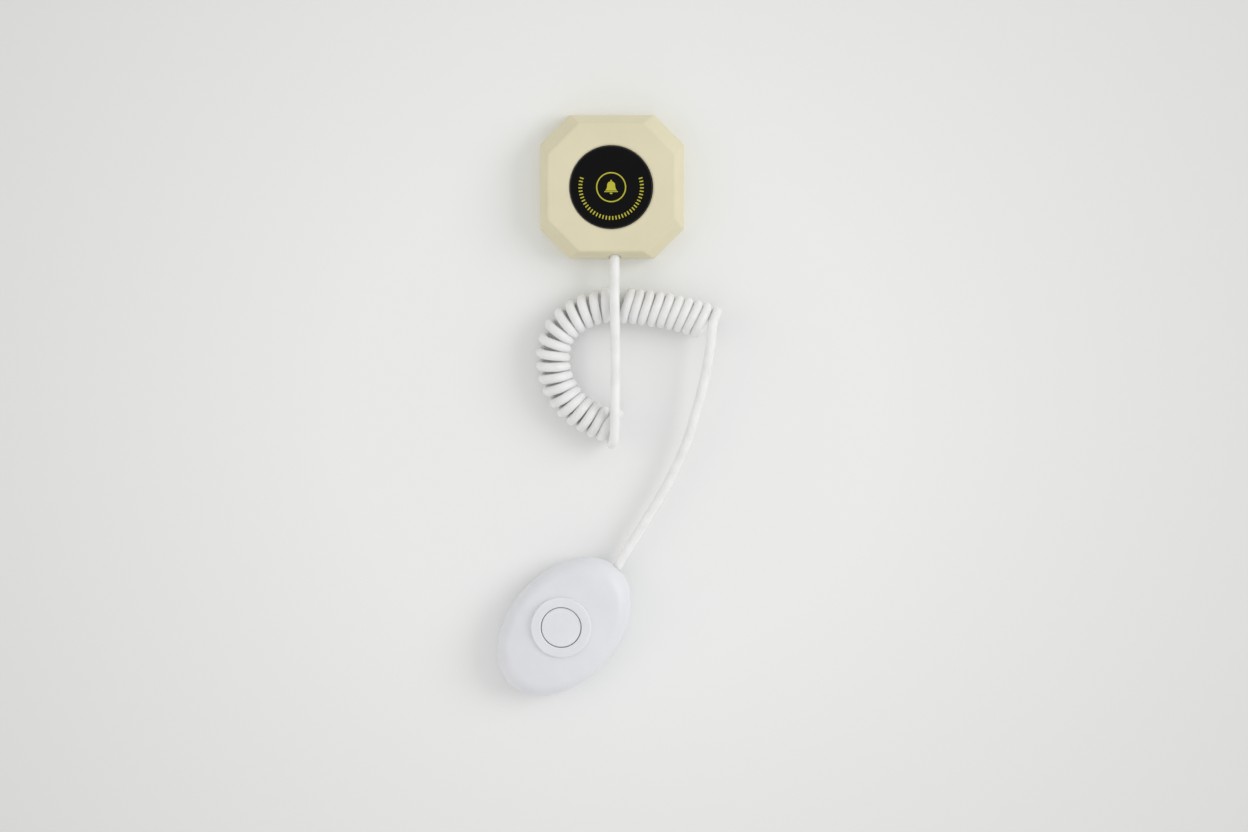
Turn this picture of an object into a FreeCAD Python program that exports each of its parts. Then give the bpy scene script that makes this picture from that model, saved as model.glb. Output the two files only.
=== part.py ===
import FreeCAD, Part
import math
import os

# Bedside call button: an octagonal wall unit with a large round call button, and an oval
# hand-held push button on a curly cord.
#
# The set lies as on a table, face up. +Z is out of the wall unit's face, +Y is up the wall
# and +X is to the right as seen from in front. The origin is the middle of the wall unit's
# back, where it meets the wall. All sizes are in millimetres.

V = FreeCAD.Vector
UP = V(0, 0, 1)
ROOT_TWO = math.sqrt(2)

OVERSHOOT = 1.0            # a cutting tool beyond the face that it opens

# Wall unit: the moulded front cover
UNIT_WIDTH = 64.2          # across the flats, at the wall
UNIT_CORNER_CUT = 13.1     # length cut from both sides at each corner
UNIT_DEPTH = 18.0          # from the wall to the face
BAND_RISE = 7.0            # height of the sloping band round the face
BAND_SIDE_INSET = 3.4      # lean of the band along the straight sides
BAND_CORNER_INSET = 5.7    # lean of the band at the cut corners
COVER_WALL = 2.2
COVER_EDGE_ROUND = 0.8

# Wall unit: the back plate inside the cover's rim
PLATE_THICK = 2.0
PLATE_GAP = 0.2
KEYHOLE_SPACING = 30.0
KEYHOLE_HEAD_DIA = 8.4     # the wall screw's head goes in here
KEYHOLE_SLOT_WIDTH = 4.4   # and its neck slides up here
KEYHOLE_DROP = 7.0

# Wall unit: the call button and its printed film
CALL_MARGIN = 13.7         # from the button to the cover's sides
CALL_GAP = 0.3             # between the button and the rim of its opening
CALL_PROUD = 0.4
CALL_TRAVEL = 0.6
CALL_CAP_WALL = 1.8
CALL_FLANGE_LAP = 1.6      # how far the flange reaches under the face
CALL_FLANGE_THICK = 1.2
CALL_STEM_DIA = 4.4
CALL_WEB_THICK = 1.0       # webs from the stem to the skirt
FILM_THICK = 0.25
FILM_MARGIN = 0.3
SEAT_GAP = 0.3             # a button's flange below the seat that stops it

# Wall unit: the circuit board and what it carries
BOARD_STANDOFF = 4.4       # free height behind the board, for the wall screws' heads
BOARD_THICK = 1.6
BOARD_COLLAR_GAP = 1.5     # between the board and the cord's collar
BOARD_CELL_GAP = 2.35      # between the board and the cell
BOARD_CORNER_CUT = 4.0
BOARD_BOSS_GAP = 1.2       # between the board's lower corners and the cover's bosses
BOARD_MARGIN = 2.6         # board beyond the middle of its screws
SWITCH_SIDE = 6.2
SWITCH_HEIGHT = 3.5
PLUNGER_DIA = 3.5
PLUNGER_PROUD = 1.6
PLUNGER_SUNK = 0.8         # of the plunger inside the switch at rest
PLUNGER_GAP = 0.1
CHIP_LENGTH = 10.3
CHIP_WIDTH = 5.6
CHIP_HEIGHT = 2.2
CHIP_PINS_A_SIDE = 8
CHIP_PIN_PITCH = 1.27
CHIP_PIN_WIDTH = 0.45
CHIP_PIN_THICK = 0.3
CHIP_PIN_REACH = 0.9
CHIP_X = -11.5
CHIP_RISE = 11.0           # middle of the chip above the board's bottom edge
CAN_DIA = 8.2
CAN_FLANGE = 0.5
CAN_FLANGE_THICK = 0.6
CAN_HEIGHT = 3.2
CAN_CHAMFER = 0.4
CAN_X = 12.0
CAN_SOCKET_GAP = 1.2
ANTENNA_WIRE = 1.0
ANTENNA_SPAN = 33.0
ANTENNA_HEIGHT = 3.6
ANTENNA_BEND = 1.6
ANTENNA_DROP = 5.5         # below the board's top edge
SOCKET_LENGTH = 7.5
SOCKET_WIDTH = 4.4
SOCKET_CAP_GAP = 1.1       # between the socket and the call button's flange
SOCKET_WALL = 0.7
SOCKET_PIN = 0.6
SOCKET_PIN_PITCH = 2.5
SOCKET_X = 9.5
SOCKET_RISE = 3.8          # middle of the socket above the board's bottom edge

# Wall unit: the cell, its cradle on the back plate and its contacts
CELL_DIA = 10.3
CELL_END_GAP = 0.5         # between the cell's contacts and the cover's upper bosses
CELL_NUB_DIA = 4.0
CELL_NUB = 0.6
CELL_TOP_GAP = 4.35        # between the cell's cradle and the plate's top edge
CELL_GAP = 0.15
SADDLE_THICK = 1.6
SADDLE_SPACING = 14.0
SADDLE_LIP = 1.1
END_WALL = 1.2
END_WALL_WIDTH = 7.6
END_WALL_HEIGHT = 8.0
CONTACT_THICK = 0.4
CONTACT_WIDTH = 8.0
CONTACT_HEIGHT = 8.4
CONTACT_FOOT = 2.2
LEAF_REACH = 1.85          # how far the minus contact's spring leaf stands out
LEAF_THICK = 0.45
LEAF_HALF_HEIGHT = 3.5
LEAF_WIDTH = 4.0
LEAF_GAP = 0.1             # between the leaf's tip and the cell

# Wall unit: its screws, and the bosses and posts that take them
BOSS_DIA = 6.4
BOSS_EDGE = 0.4            # between a corner boss and the cover's wall
SCREW_DIA = 2.5
SCREW_HEAD_DIA = 5.0
SCREW_HEAD_SINK = 1.2      # depth of the countersunk head
SCREW_LENGTH = 9.0
SMALL_SCREW_DIA = 1.7
SMALL_HEAD_DIA = 3.4
SMALL_HEAD_HEIGHT = 1.2
SMALL_SCREW_LENGTH = 6.0
POST_DIA = 4.4
POST_GAP = 0.8             # between a board post and the call button's flange
POST_DROP = 5.0            # of the upper posts below the board's top edge
THREAD_GAP = 0.1           # a screw's shank in its pilot hole, radially
PILOT_SPARE = 0.5          # depth of a pilot hole beyond its screw's tip
DRIVE_WIDTH = 0.7
DRIVE_DEPTH = 0.7

# Cord, and where it goes into each housing
CORD_DIA = 4.2
CORD_HOLE_GAP = 0.3
EXIT_X = 1.5
EXIT_ROOF = 0.2            # between the cord's collar and the cover's inside
COLLAR_DIA = 6.2           # the collar moulded on the cord's end, inside each housing
COLLAR_LENGTH = 5.0
COLLAR_GAP = 0.1
EXIT_BLOCK_DEPTH = 3.8     # block behind the cord's hole, inside the cover
EXIT_BLOCK_WIDTH = 10.6
CRADLE_RIB = 2.2
CLAMP_THICK = 1.6
CLAMP_EAR = 1.4
COIL_OUTER_DIA = 15.6

# Hand-held push button: an oval pebble in two shells
HAND_LENGTH = 72.0
HAND_WIDTH = 49.5
HAND_SPLIT = 8.0           # height of the joint between the shells
HAND_CROWN = 19.3          # height of the dome
HAND_RIM_ROUND = 9.0       # arc from the joint up to the dome's large arc
HAND_REAR_SKIM = 0.1       # cut off the rear to a true flat for it to lie on
HAND_WALL = 2.0
HAND_LIP = 1.2             # tongue of the front shell inside the rear one
HAND_LIP_GAP = 0.15
HAND_X = -21.6
HAND_Y = -198.4
HAND_TURN = 48.2           # degrees, of the long axis from +X
PUSH_OFFSET = 0.0          # the push button's middle along the long axis
PUSH_ACROSS = 1.2          # and across it
PUSH_DIA = 17.7
PUSH_GAP = 0.3
PUSH_TRAVEL = 1.2
PUSH_CROWN = 0.25
PUSH_EDGE_ROUND = 0.4
PUSH_BELOW_RING = 0.3
PUSH_CAP_WALL = 1.8
PUSH_FLANGE_LAP = 1.4
PUSH_FLANGE_THICK = 1.2
PUSH_STEM_DIA = 4.4
RING_DIA = 27.2
RING_TOP = 20.0
RING_EDGE_ROUND = 0.6
RING_MOUTH_CHAMFER = 0.35
SEAT_COLLAR_DROP = 1.6     # seat of the push button below the inside of the dome
SEAT_COLLAR_WALL = 2.4
RING_ROOT = 0.75           # share of the dome's wall that the ring's foot is sunk by
HAND_BOARD_X = -1.5        # its middle along the long axis
HAND_BOARD_LENGTH = 40.0
HAND_BOARD_WIDTH = 27.0
HAND_BOARD_Z = 8.4
HAND_POST_DIA = 5.0
HAND_POST_SPACING = 31.0
HAND_BOSS_DIA = 7.2        # along the hand unit; narrowed with it across
HAND_PILLAR_DIA = 9.9      # the same
HAND_PILLAR_TOP = 5.0
HAND_SCREW_DIA = 2.2
HAND_HEAD_DIA = 4.6
HAND_HEAD_HEIGHT = 1.5
HAND_HEAD_SINK = 1.1
HAND_HEAD_GAP = 0.3
HAND_SCREW_LENGTH = 9.5
HAND_SCREW_PLACES = [(-26.5, 0.0), (18.0, 10.0), (18.0, -10.0)]
ENTRY_TURN = 17.3          # degrees, of the cord from the long axis where it goes in
ENTRY_WALL = 4.0           # from the tip to the collar, along the cord
ENTRY_BLOCK_WIDTH = 10.0
ENTRY_BLOCK_INSET = 1.0    # the holder's outer end, in from the tip

# Sizes worked out from the ones above
unit_half = UNIT_WIDTH / 2
corner_reach = (UNIT_WIDTH - UNIT_CORNER_CUT) / ROOT_TWO
face_half = unit_half - BAND_SIDE_INSET
face_reach = corner_reach - BAND_CORNER_INSET
band_base = UNIT_DEPTH - BAND_RISE
face_inside = UNIT_DEPTH - COVER_WALL
cavity_half = unit_half - COVER_WALL
cavity_reach = corner_reach - COVER_WALL

call_radius = unit_half - CALL_MARGIN
call_top = UNIT_DEPTH + CALL_PROUD
call_flange_radius = call_radius + CALL_FLANGE_LAP
call_flange_top = face_inside - SEAT_GAP

cell_y = cavity_half - PLATE_GAP - CELL_TOP_GAP - SADDLE_LIP - CELL_DIA / 2
board_bottom = PLATE_THICK + BOARD_STANDOFF
board_top = board_bottom + BOARD_THICK
plunger_top = board_top + SWITCH_HEIGHT + PLUNGER_PROUD
post_x = call_flange_radius + POST_GAP + POST_DIA / 2
board_half = post_x + BOARD_MARGIN
boss_offset = (cavity_reach - BOSS_EDGE - BOSS_DIA / 2) / ROOT_TWO
pilot_radius = SCREW_DIA / 2 + THREAD_GAP
small_pilot_radius = SMALL_SCREW_DIA / 2 + THREAD_GAP
boss_inner = boss_offset - BOSS_DIA / 2
cell_half = boss_inner - CELL_END_GAP - LEAF_REACH - CONTACT_THICK - END_WALL
cell_z = PLATE_THICK + CELL_GAP + CELL_DIA / 2

cord_radius = CORD_DIA / 2
cord_hole_radius = cord_radius + CORD_HOLE_GAP
collar_radius = COLLAR_DIA / 2
collar_face_y = -(cavity_half - EXIT_BLOCK_DEPTH)
exit_z = face_inside - EXIT_ROOF - collar_radius

board_low_y = collar_face_y + COLLAR_LENGTH + BOARD_COLLAR_GAP
board_high_y = cell_y - CELL_DIA / 2 - BOARD_CELL_GAP
board_cut_line = 2 * boss_offset - ROOT_TWO * (BOSS_DIA / 2 + BOARD_BOSS_GAP)
post_low_y = post_x + ROOT_TWO * BOARD_MARGIN - board_cut_line
post_high_y = board_high_y - POST_DROP
socket_y = board_low_y + SOCKET_RISE
can_y = socket_y + SOCKET_WIDTH / 2 + CAN_SOCKET_GAP + CAN_DIA / 2 + CAN_FLANGE

hand_a = HAND_LENGTH / 2
rim_middle = hand_a - HAND_RIM_ROUND
dome_rise = HAND_CROWN - HAND_SPLIT
dome_radius = (rim_middle ** 2 + dome_rise ** 2 - HAND_RIM_ROUND ** 2) / (2 * (dome_rise - HAND_RIM_ROUND))
dome_middle = HAND_CROWN - dome_radius
dome_meet = rim_middle * dome_radius / (dome_radius - HAND_RIM_ROUND)
push_radius = PUSH_DIA / 2
push_hole_radius = push_radius + PUSH_GAP
push_flange_radius = push_radius + PUSH_FLANGE_LAP
dome_inside = HAND_CROWN - HAND_WALL
push_seat = dome_inside - SEAT_COLLAR_DROP
push_flange_top = push_seat - SEAT_GAP
push_top = RING_TOP - PUSH_BELOW_RING
hand_board_top = HAND_BOARD_Z + BOARD_THICK
hand_plunger_top = hand_board_top + SWITCH_HEIGHT + PLUNGER_PROUD
hand_pilot_radius = HAND_SCREW_DIA / 2 + THREAD_GAP


def octagon(half, reach):
    """Corners of a square with cut corners: half across the flats, reach to a cut corner."""
    near = ROOT_TWO * reach - half
    return [(half, -near), (half, near), (near, half), (-near, half),
            (-half, near), (-half, -near), (-near, -half), (near, -half)]


def frustum(lower, z0, upper, z1):
    """Solid between two outlines with as many corners, one above the other."""
    base = [V(x, y, z0) for x, y in lower]
    top = [V(x, y, z1) for x, y in upper]
    faces = [Part.Face(Part.makePolygon(ring + ring[:1])) for ring in (base, top)]
    for i in range(len(base)):
        j = (i + 1) % len(base)
        side = [base[i], base[j], top[j], top[i], base[i]]
        faces.append(Part.Face(Part.makePolygon(side)))
    solid = Part.Solid(Part.Shell(faces))
    if solid.Volume < 0:
        solid.reverse()
    return solid


def block(x0, x1, y0, y1, z0, z1):
    return Part.makeBox(x1 - x0, y1 - y0, z1 - z0, V(x0, y0, z0))


def disc(radius, z0, z1, x=0.0, y=0.0):
    return Part.makeCylinder(radius, z1 - z0, V(x, y, z0))


def turned(profile, x=0.0, y=0.0):
    """Solid turned about an upright axis from (radius, height) corners."""
    points = [V(r, 0, z) for r, z in profile]
    face = Part.Face(Part.makePolygon(points + points[:1]))
    solid = face.revolve(V(0, 0, 0), UP, 360)
    solid.translate(V(x, y, 0))
    return solid


def cross_recess(radius, z_face, depth, x, y):
    """Cross slot in a screw head whose face looks down, at z_face."""
    half = DRIVE_WIDTH / 2
    arm = radius * 0.6
    along = block(x - arm, x + arm, y - half, y + half, z_face, z_face + depth)
    across = block(x - half, x + half, y - arm, y + arm, z_face, z_face + depth)
    return along.fuse(across)


def pan_screw(shank_radius, head_radius, head_height, length, z_seat, x, y):
    """Screw that points up, with its head's seat at z_seat."""
    z_face = z_seat - head_height
    body = turned([(0, z_face), (head_radius * 0.8, z_face), (head_radius, z_face + head_height * 0.45),
                   (head_radius, z_seat), (shank_radius, z_seat),
                   (shank_radius, z_seat + length - shank_radius), (0, z_seat + length)], x, y)
    return body.cut(cross_recess(head_radius, z_face, DRIVE_DEPTH, x, y))


def sunk_screw(shank_radius, head_radius, sink, length, z_face, x, y):
    """Countersunk screw that points up, with its head's face at z_face."""
    z_tip = z_face + length
    body = turned([(0, z_face), (head_radius, z_face), (shank_radius, z_face + sink),
                   (shank_radius, z_tip - shank_radius), (0, z_tip)], x, y)
    return body.cut(cross_recess(head_radius, z_face, DRIVE_DEPTH, x, y))


def down_screw(shank_radius, head_radius, head_height, length, z_seat, x, y):
    """Screw that points down, with its head's seat at z_seat."""
    screw = pan_screw(shank_radius, head_radius, head_height, length, 0, 0, 0)
    screw.rotate(V(0, 0, 0), V(1, 0, 0), 180)
    screw.translate(V(x, y, z_seat))
    return screw


def line(r0, z0, r1, z1):
    return Part.makeLine(V(r0, 0, z0), V(r1, 0, z1))


def arc(r_middle, z_middle, radius, start, end):
    """Arc about a point of the section, between two directions in degrees from +X."""
    points = []
    for degrees in (start, (start + end) / 2, end):
        turn = math.radians(degrees)
        points.append(V(r_middle + radius * math.cos(turn), 0, z_middle + radius * math.sin(turn)))
    return Part.Arc(*points).toShape()


def oval(shape):
    """Narrow a round piece in Y, so that its plan is the hand unit's ellipse."""
    squeeze = FreeCAD.Matrix()
    squeeze.scale(1, HAND_WIDTH / HAND_LENGTH, 1)
    return shape.transformGeometry(squeeze)


def oval_disc(a, b, z0, z1):
    """Flat plate with an ellipse as its plan."""
    edge = Part.Ellipse(V(0, 0, z0), a, b).toShape()
    return Part.Face(Part.Wire([edge])).extrude(V(0, 0, z1 - z0))


def dome_height(r):
    """Height of the dome's outside at a radius, before the dome is narrowed."""
    if r < dome_meet:
        return dome_middle + math.sqrt(dome_radius ** 2 - r ** 2)
    return HAND_SPLIT + math.sqrt(HAND_RIM_ROUND ** 2 - (r - rim_middle) ** 2)


def hand_place(shape):
    """Turn and move a piece of the hand unit from its own axes to where it lies."""
    placed = shape.copy()
    placed.rotate(V(0, 0, 0), UP, HAND_TURN)
    placed.translate(V(HAND_X, HAND_Y, 0))
    return placed


def entry_place(shape):
    """Move a piece made along -X from the origin to the cord's line into the hand unit."""
    placed = shape.copy()
    placed.rotate(V(0, 0, 0), UP, ENTRY_TURN)
    placed.translate(V(hand_a, 0, HAND_SPLIT))
    return placed


def rod(radius, x0, x1, y=0.0, z=0.0):
    """Cylinder along X."""
    return Part.makeCylinder(radius, x1 - x0, V(x0, y, z), V(1, 0, 0))


def save(name, shape):
    shape.exportStep("parts/" + name + ".step")
    corner = shape.BoundBox
    print("%-22s %d solids, %8.1f mm3, x %.1f..%.1f y %.1f..%.1f z %.2f..%.2f%s" % (
        name, len(shape.Solids), shape.Volume, corner.XMin, corner.XMax, corner.YMin, corner.YMax,
        corner.ZMin, corner.ZMax, "" if shape.isValid() else " INVALID"))


def tube(name, points, radius):
    """Tube along straight runs joined by tangent arcs. Prints each arc's radius."""
    route = [V(*p) for p in points]
    runs = [route[i + 1].sub(route[i]).Length for i in range(len(route) - 1)]
    edges = []
    radii = []
    at = route[0]
    length = 0
    for i in range(1, len(route) - 1):
        came = route[i].sub(route[i - 1]).normalize()
        goes = route[i + 1].sub(route[i]).normalize()
        half_turn = came.getAngle(goes) / 2
        tangent = 0.45 * min(runs[i - 1], runs[i])
        bend = tangent / math.tan(half_turn)
        start = route[i].sub(came * tangent)
        end = route[i].add(goes * tangent)
        inward = goes.sub(came).normalize()
        middle = route[i].add(inward * (bend / math.cos(half_turn) - bend))
        edges.append(Part.makeLine(at, start))
        edges.append(Part.Arc(start, middle, end).toShape())
        length += start.sub(at).Length + bend * 2 * half_turn
        radii.append(bend)
        at = end
    edges.append(Part.makeLine(at, route[-1]))
    length += route[-1].sub(at).Length
    ring = Part.Wire([Part.Circle(route[0], route[1].sub(route[0]), radius).toShape()])
    solid = Part.Wire(edges).makePipe(Part.Face(ring))
    if solid.Volume < 0:
        solid.reverse()
    print("%s: length %.1f, runs %s, bend radii %s, volume %.4f of section x length" % (
        name, length, " ".join("%.1f" % r for r in runs), " ".join("%.1f" % r for r in radii),
        solid.Volume / (math.pi * radius ** 2 * length)))
    return solid


def switch_body(z, travel, x=0.0, y=0.0):
    """Push switch with a well for its plunger, deep enough for the travel."""
    half = SWITCH_SIDE / 2
    top = z + SWITCH_HEIGHT
    body = block(x - half, x + half, y - half, y + half, z, top)
    well_floor = top - PLUNGER_SUNK - travel - PLUNGER_GAP
    return body.cut(disc(PLUNGER_DIA / 2 + PLUNGER_GAP, well_floor, top + OVERSHOOT, x, y))


def plunger(z, x=0.0, y=0.0):
    top = z + SWITCH_HEIGHT
    return disc(PLUNGER_DIA / 2, top - PLUNGER_SUNK, top + PLUNGER_PROUD, x, y)


def boss_places():
    return [(sx * boss_offset, sy * boss_offset) for sx in (1, -1) for sy in (1, -1)]


def post_places():
    return [(sx * post_x, y) for sx in (1, -1) for y in (post_low_y, post_high_y)]


def clamp_screw_places():
    offset = collar_radius + COLLAR_GAP + CRADLE_RIB / 2
    y = collar_face_y + COLLAR_LENGTH / 2
    return [(EXIT_X - offset, y), (EXIT_X + offset, y)]


def make_front_cover():
    outer = octagon(unit_half, corner_reach)
    face = octagon(face_half, face_reach)
    body = frustum(outer, 0, outer, band_base).fuse(frustum(outer, band_base, face, UNIT_DEPTH))
    body = body.removeSplitter()
    edges = [e for e in body.Edges if e.BoundBox.ZMax > 1e-6]
    body = body.makeFillet(COVER_EDGE_ROUND, edges)

    inner = octagon(cavity_half, cavity_reach)
    inner_face = octagon(face_half - COVER_WALL, face_reach - COVER_WALL)
    cavity = frustum(inner, -OVERSHOOT, inner, band_base)
    cavity = cavity.fuse(frustum(inner, band_base, inner_face, face_inside))
    shell = body.cut(cavity)

    # What stands inside is made long, then kept to the room inside the cover
    inside = [disc(BOSS_DIA / 2, PLATE_THICK, face_inside, x, y) for x, y in boss_places()]
    inside += [disc(POST_DIA / 2, board_top, face_inside, x, y) for x, y in post_places()]
    half = EXIT_BLOCK_WIDTH / 2
    foot = exit_z - collar_radius
    inside.append(block(EXIT_X - half, EXIT_X + half, -cavity_half, collar_face_y, foot, face_inside))
    for side in (-1, 1):
        near = EXIT_X + side * (collar_radius + COLLAR_GAP)
        far = near + side * CRADLE_RIB
        inside.append(block(min(near, far), max(near, far), collar_face_y,
                            collar_face_y + COLLAR_LENGTH, foot, face_inside))
    for piece in inside:
        shell = shell.fuse(piece.common(cavity))

    cuts = [disc(call_radius + CALL_GAP, face_inside - OVERSHOOT, UNIT_DEPTH + OVERSHOOT)]
    cuts += [disc(pilot_radius, 0, SCREW_LENGTH + PILOT_SPARE, x, y) for x, y in boss_places()]
    post_depth = board_bottom + SMALL_SCREW_LENGTH + PILOT_SPARE
    cuts += [disc(small_pilot_radius, 0, post_depth, x, y) for x, y in post_places()]
    rib_depth = foot - CLAMP_THICK + SMALL_SCREW_LENGTH + PILOT_SPARE
    cuts += [disc(small_pilot_radius, 0, rib_depth, x, y) for x, y in clamp_screw_places()]
    cuts.append(Part.makeCylinder(cord_hole_radius, unit_half, V(EXIT_X, collar_face_y, exit_z),
                                  V(0, -1, 0)))
    for tool in cuts:
        shell = shell.cut(tool)
    return shell.removeSplitter()


def make_back_plate():
    outline = octagon(cavity_half - PLATE_GAP, cavity_reach - PLATE_GAP)
    plate = frustum(outline, 0, outline, PLATE_THICK)

    # Cradle of the cell: two saddles and a wall behind each contact
    for side in (-1, 1):
        x = side * SADDLE_SPACING / 2
        half = CELL_DIA / 2 + SADDLE_LIP
        saddle = block(x - SADDLE_THICK / 2, x + SADDLE_THICK / 2, cell_y - half, cell_y + half,
                       PLATE_THICK, cell_z)
        plate = plate.fuse(saddle)
    seat = rod(CELL_DIA / 2 + CELL_GAP, -cell_half, cell_half, cell_y, cell_z)
    plate = plate.cut(seat.common(block(-cell_half, cell_half, -unit_half, unit_half,
                                        PLATE_THICK, UNIT_DEPTH)))
    plus_wall = cell_half + CELL_NUB + CONTACT_THICK
    minus_wall = -(cell_half + LEAF_REACH + CONTACT_THICK)
    half = END_WALL_WIDTH / 2
    top = PLATE_THICK + END_WALL_HEIGHT
    plate = plate.fuse(block(plus_wall, plus_wall + END_WALL, cell_y - half, cell_y + half,
                             PLATE_THICK, top))
    plate = plate.fuse(block(minus_wall - END_WALL, minus_wall, cell_y - half, cell_y + half,
                             PLATE_THICK, top))

    over = PLATE_THICK + OVERSHOOT
    for x, y in boss_places():
        mouth = SCREW_HEAD_DIA / 2 + THREAD_GAP
        plate = plate.cut(turned([(0, -OVERSHOOT), (mouth, -OVERSHOOT), (mouth, 0),
                                  (pilot_radius, SCREW_HEAD_SINK),
                                  (pilot_radius, over), (0, over)], x, y))
    for side in (-1, 1):
        x = side * KEYHOLE_SPACING / 2
        low = -KEYHOLE_DROP / 2
        high = KEYHOLE_DROP / 2
        slot = KEYHOLE_SLOT_WIDTH / 2
        plate = plate.cut(disc(KEYHOLE_HEAD_DIA / 2, -OVERSHOOT, over, x, low))
        plate = plate.cut(disc(slot, -OVERSHOOT, over, x, high))
        plate = plate.cut(block(x - slot, x + slot, low, high, -OVERSHOOT, over))
    return plate.removeSplitter()


def make_call_button():
    flange_bottom = call_flange_top - CALL_FLANGE_THICK
    film_floor = call_top - FILM_THICK
    under = film_floor - CALL_CAP_WALL
    bore = call_radius - CALL_CAP_WALL
    film_radius = call_radius - FILM_MARGIN
    cap = turned([(0, under), (bore, under), (bore, flange_bottom),
                  (call_flange_radius, flange_bottom), (call_flange_radius, call_flange_top),
                  (call_radius, call_flange_top), (call_radius, call_top),
                  (film_radius, call_top), (film_radius, film_floor), (0, film_floor)])
    cap = cap.fuse(disc(CALL_STEM_DIA / 2, plunger_top, under))
    # Stiffening webs from the stem to the skirt
    for turn in range(4):
        web = block(CALL_STEM_DIA / 4, bore + CALL_CAP_WALL / 2, -CALL_WEB_THICK / 2, CALL_WEB_THICK / 2,
                    flange_bottom, under)
        web.rotate(V(0, 0, 0), UP, 45 + 90 * turn)
        cap = cap.fuse(web)
    return cap.removeSplitter(), disc(film_radius, film_floor, call_top)


def make_circuit_board():
    high = BOARD_CORNER_CUT
    x = board_half
    y0 = board_low_y
    y1 = board_high_y
    low = x - y0 - board_cut_line
    outline = [(x, y0 + low), (x, y1 - high), (x - high, y1), (high - x, y1),
               (-x, y1 - high), (-x, y0 + low), (low - x, y0), (x - low, y0)]
    board = frustum(outline, board_bottom, outline, board_top)
    for px, py in post_places():
        board = board.cut(disc(small_pilot_radius, 0, UNIT_DEPTH, px, py))
    return board


def make_chip():
    x = CHIP_X
    y = board_low_y + CHIP_RISE
    half_l = CHIP_LENGTH / 2
    half_w = CHIP_WIDTH / 2
    lift = CHIP_PIN_THICK
    chip = block(x - half_l, x + half_l, y - half_w, y + half_w, board_top + lift,
                 board_top + CHIP_HEIGHT)
    first = x - CHIP_PIN_PITCH * (CHIP_PINS_A_SIDE - 1) / 2
    for i in range(CHIP_PINS_A_SIDE):
        px = first + i * CHIP_PIN_PITCH
        knee = board_top + CHIP_HEIGHT / 2
        reach = half_w + CHIP_PIN_REACH
        profile = [V(px, y - reach, board_top), V(px, y + reach, board_top),
                   V(px, y + half_w + CHIP_PIN_THICK, knee), V(px, y - half_w - CHIP_PIN_THICK, knee),
                   V(px, y - reach, board_top)]
        pin = Part.Face(Part.makePolygon(profile)).extrude(V(CHIP_PIN_WIDTH, 0, 0))
        pin.translate(V(-CHIP_PIN_WIDTH / 2, 0, 0))
        chip = chip.fuse(pin)
    return chip.removeSplitter()


def make_can():
    x = CAN_X
    y = can_y
    radius = CAN_DIA / 2
    return turned([(0, board_top), (radius + CAN_FLANGE, board_top),
                   (radius + CAN_FLANGE, board_top + CAN_FLANGE_THICK),
                   (radius, board_top + CAN_FLANGE_THICK),
                   (radius, board_top + CAN_HEIGHT - CAN_CHAMFER),
                   (radius - CAN_CHAMFER, board_top + CAN_HEIGHT), (0, board_top + CAN_HEIGHT)], x, y)


def make_antenna():
    """Stiff wire loop that stands on the board."""
    half = ANTENNA_SPAN / 2
    top = board_top + ANTENNA_HEIGHT
    bend = ANTENNA_BEND
    inset = bend * (1 - 1 / ROOT_TWO)
    y = board_high_y - ANTENNA_DROP
    edges = [Part.makeLine(V(-half, y, board_top), V(-half, y, top - bend)),
             Part.Arc(V(-half, y, top - bend), V(-half + inset, y, top - inset),
                      V(-half + bend, y, top)).toShape(),
             Part.makeLine(V(-half + bend, y, top), V(half - bend, y, top)),
             Part.Arc(V(half - bend, y, top), V(half - inset, y, top - inset),
                      V(half, y, top - bend)).toShape(),
             Part.makeLine(V(half, y, top - bend), V(half, y, board_top))]
    ring = Part.Wire([Part.Circle(V(-half, y, board_top), UP, ANTENNA_WIRE / 2).toShape()])
    return Part.Wire(edges).makePipe(Part.Face(ring))


def make_socket():
    x = SOCKET_X
    y = socket_y
    half_l = SOCKET_LENGTH / 2
    half_w = SOCKET_WIDTH / 2
    top = call_flange_top - CALL_FLANGE_THICK - SOCKET_CAP_GAP
    body = block(x - half_l, x + half_l, y - half_w, y + half_w, board_top, top)
    wall = SOCKET_WALL
    body = body.cut(block(x - half_l + wall, x + half_l - wall, y - half_w + wall, y + half_w - wall,
                          board_top + 2 * wall, top + OVERSHOOT))
    half = SOCKET_PIN / 2
    for side in (-1, 1):
        px = x + side * SOCKET_PIN_PITCH / 2
        body = body.fuse(block(px - half, px + half, y - half, y + half, board_top, top - wall))
    return body.removeSplitter()


def make_cell():
    half = cell_half
    cell = rod(CELL_DIA / 2, -half, half, cell_y, cell_z)
    return cell.fuse(rod(CELL_NUB_DIA / 2, half, half + CELL_NUB, cell_y, cell_z))


def contact_plate(x, foot_side):
    """Upright plate behind the cell's end, with a flag and a foot that reach the board."""
    half = CONTACT_WIDTH / 2
    top = PLATE_THICK + CONTACT_HEIGHT
    foot_y = board_high_y - CONTACT_FOOT
    plate = block(x, x + CONTACT_THICK, cell_y - half, cell_y + half, PLATE_THICK, top)
    plate = plate.fuse(block(x, x + CONTACT_THICK, foot_y, cell_y, board_top, top))
    foot = sorted([x + CONTACT_THICK * (foot_side < 0), x + foot_side * CONTACT_FOOT])
    return plate.fuse(block(foot[0], foot[1], foot_y, board_high_y, board_top,
                            board_top + CONTACT_THICK))


def make_plus_contact():
    return contact_plate(cell_half + CELL_NUB, 1).removeSplitter()


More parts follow.
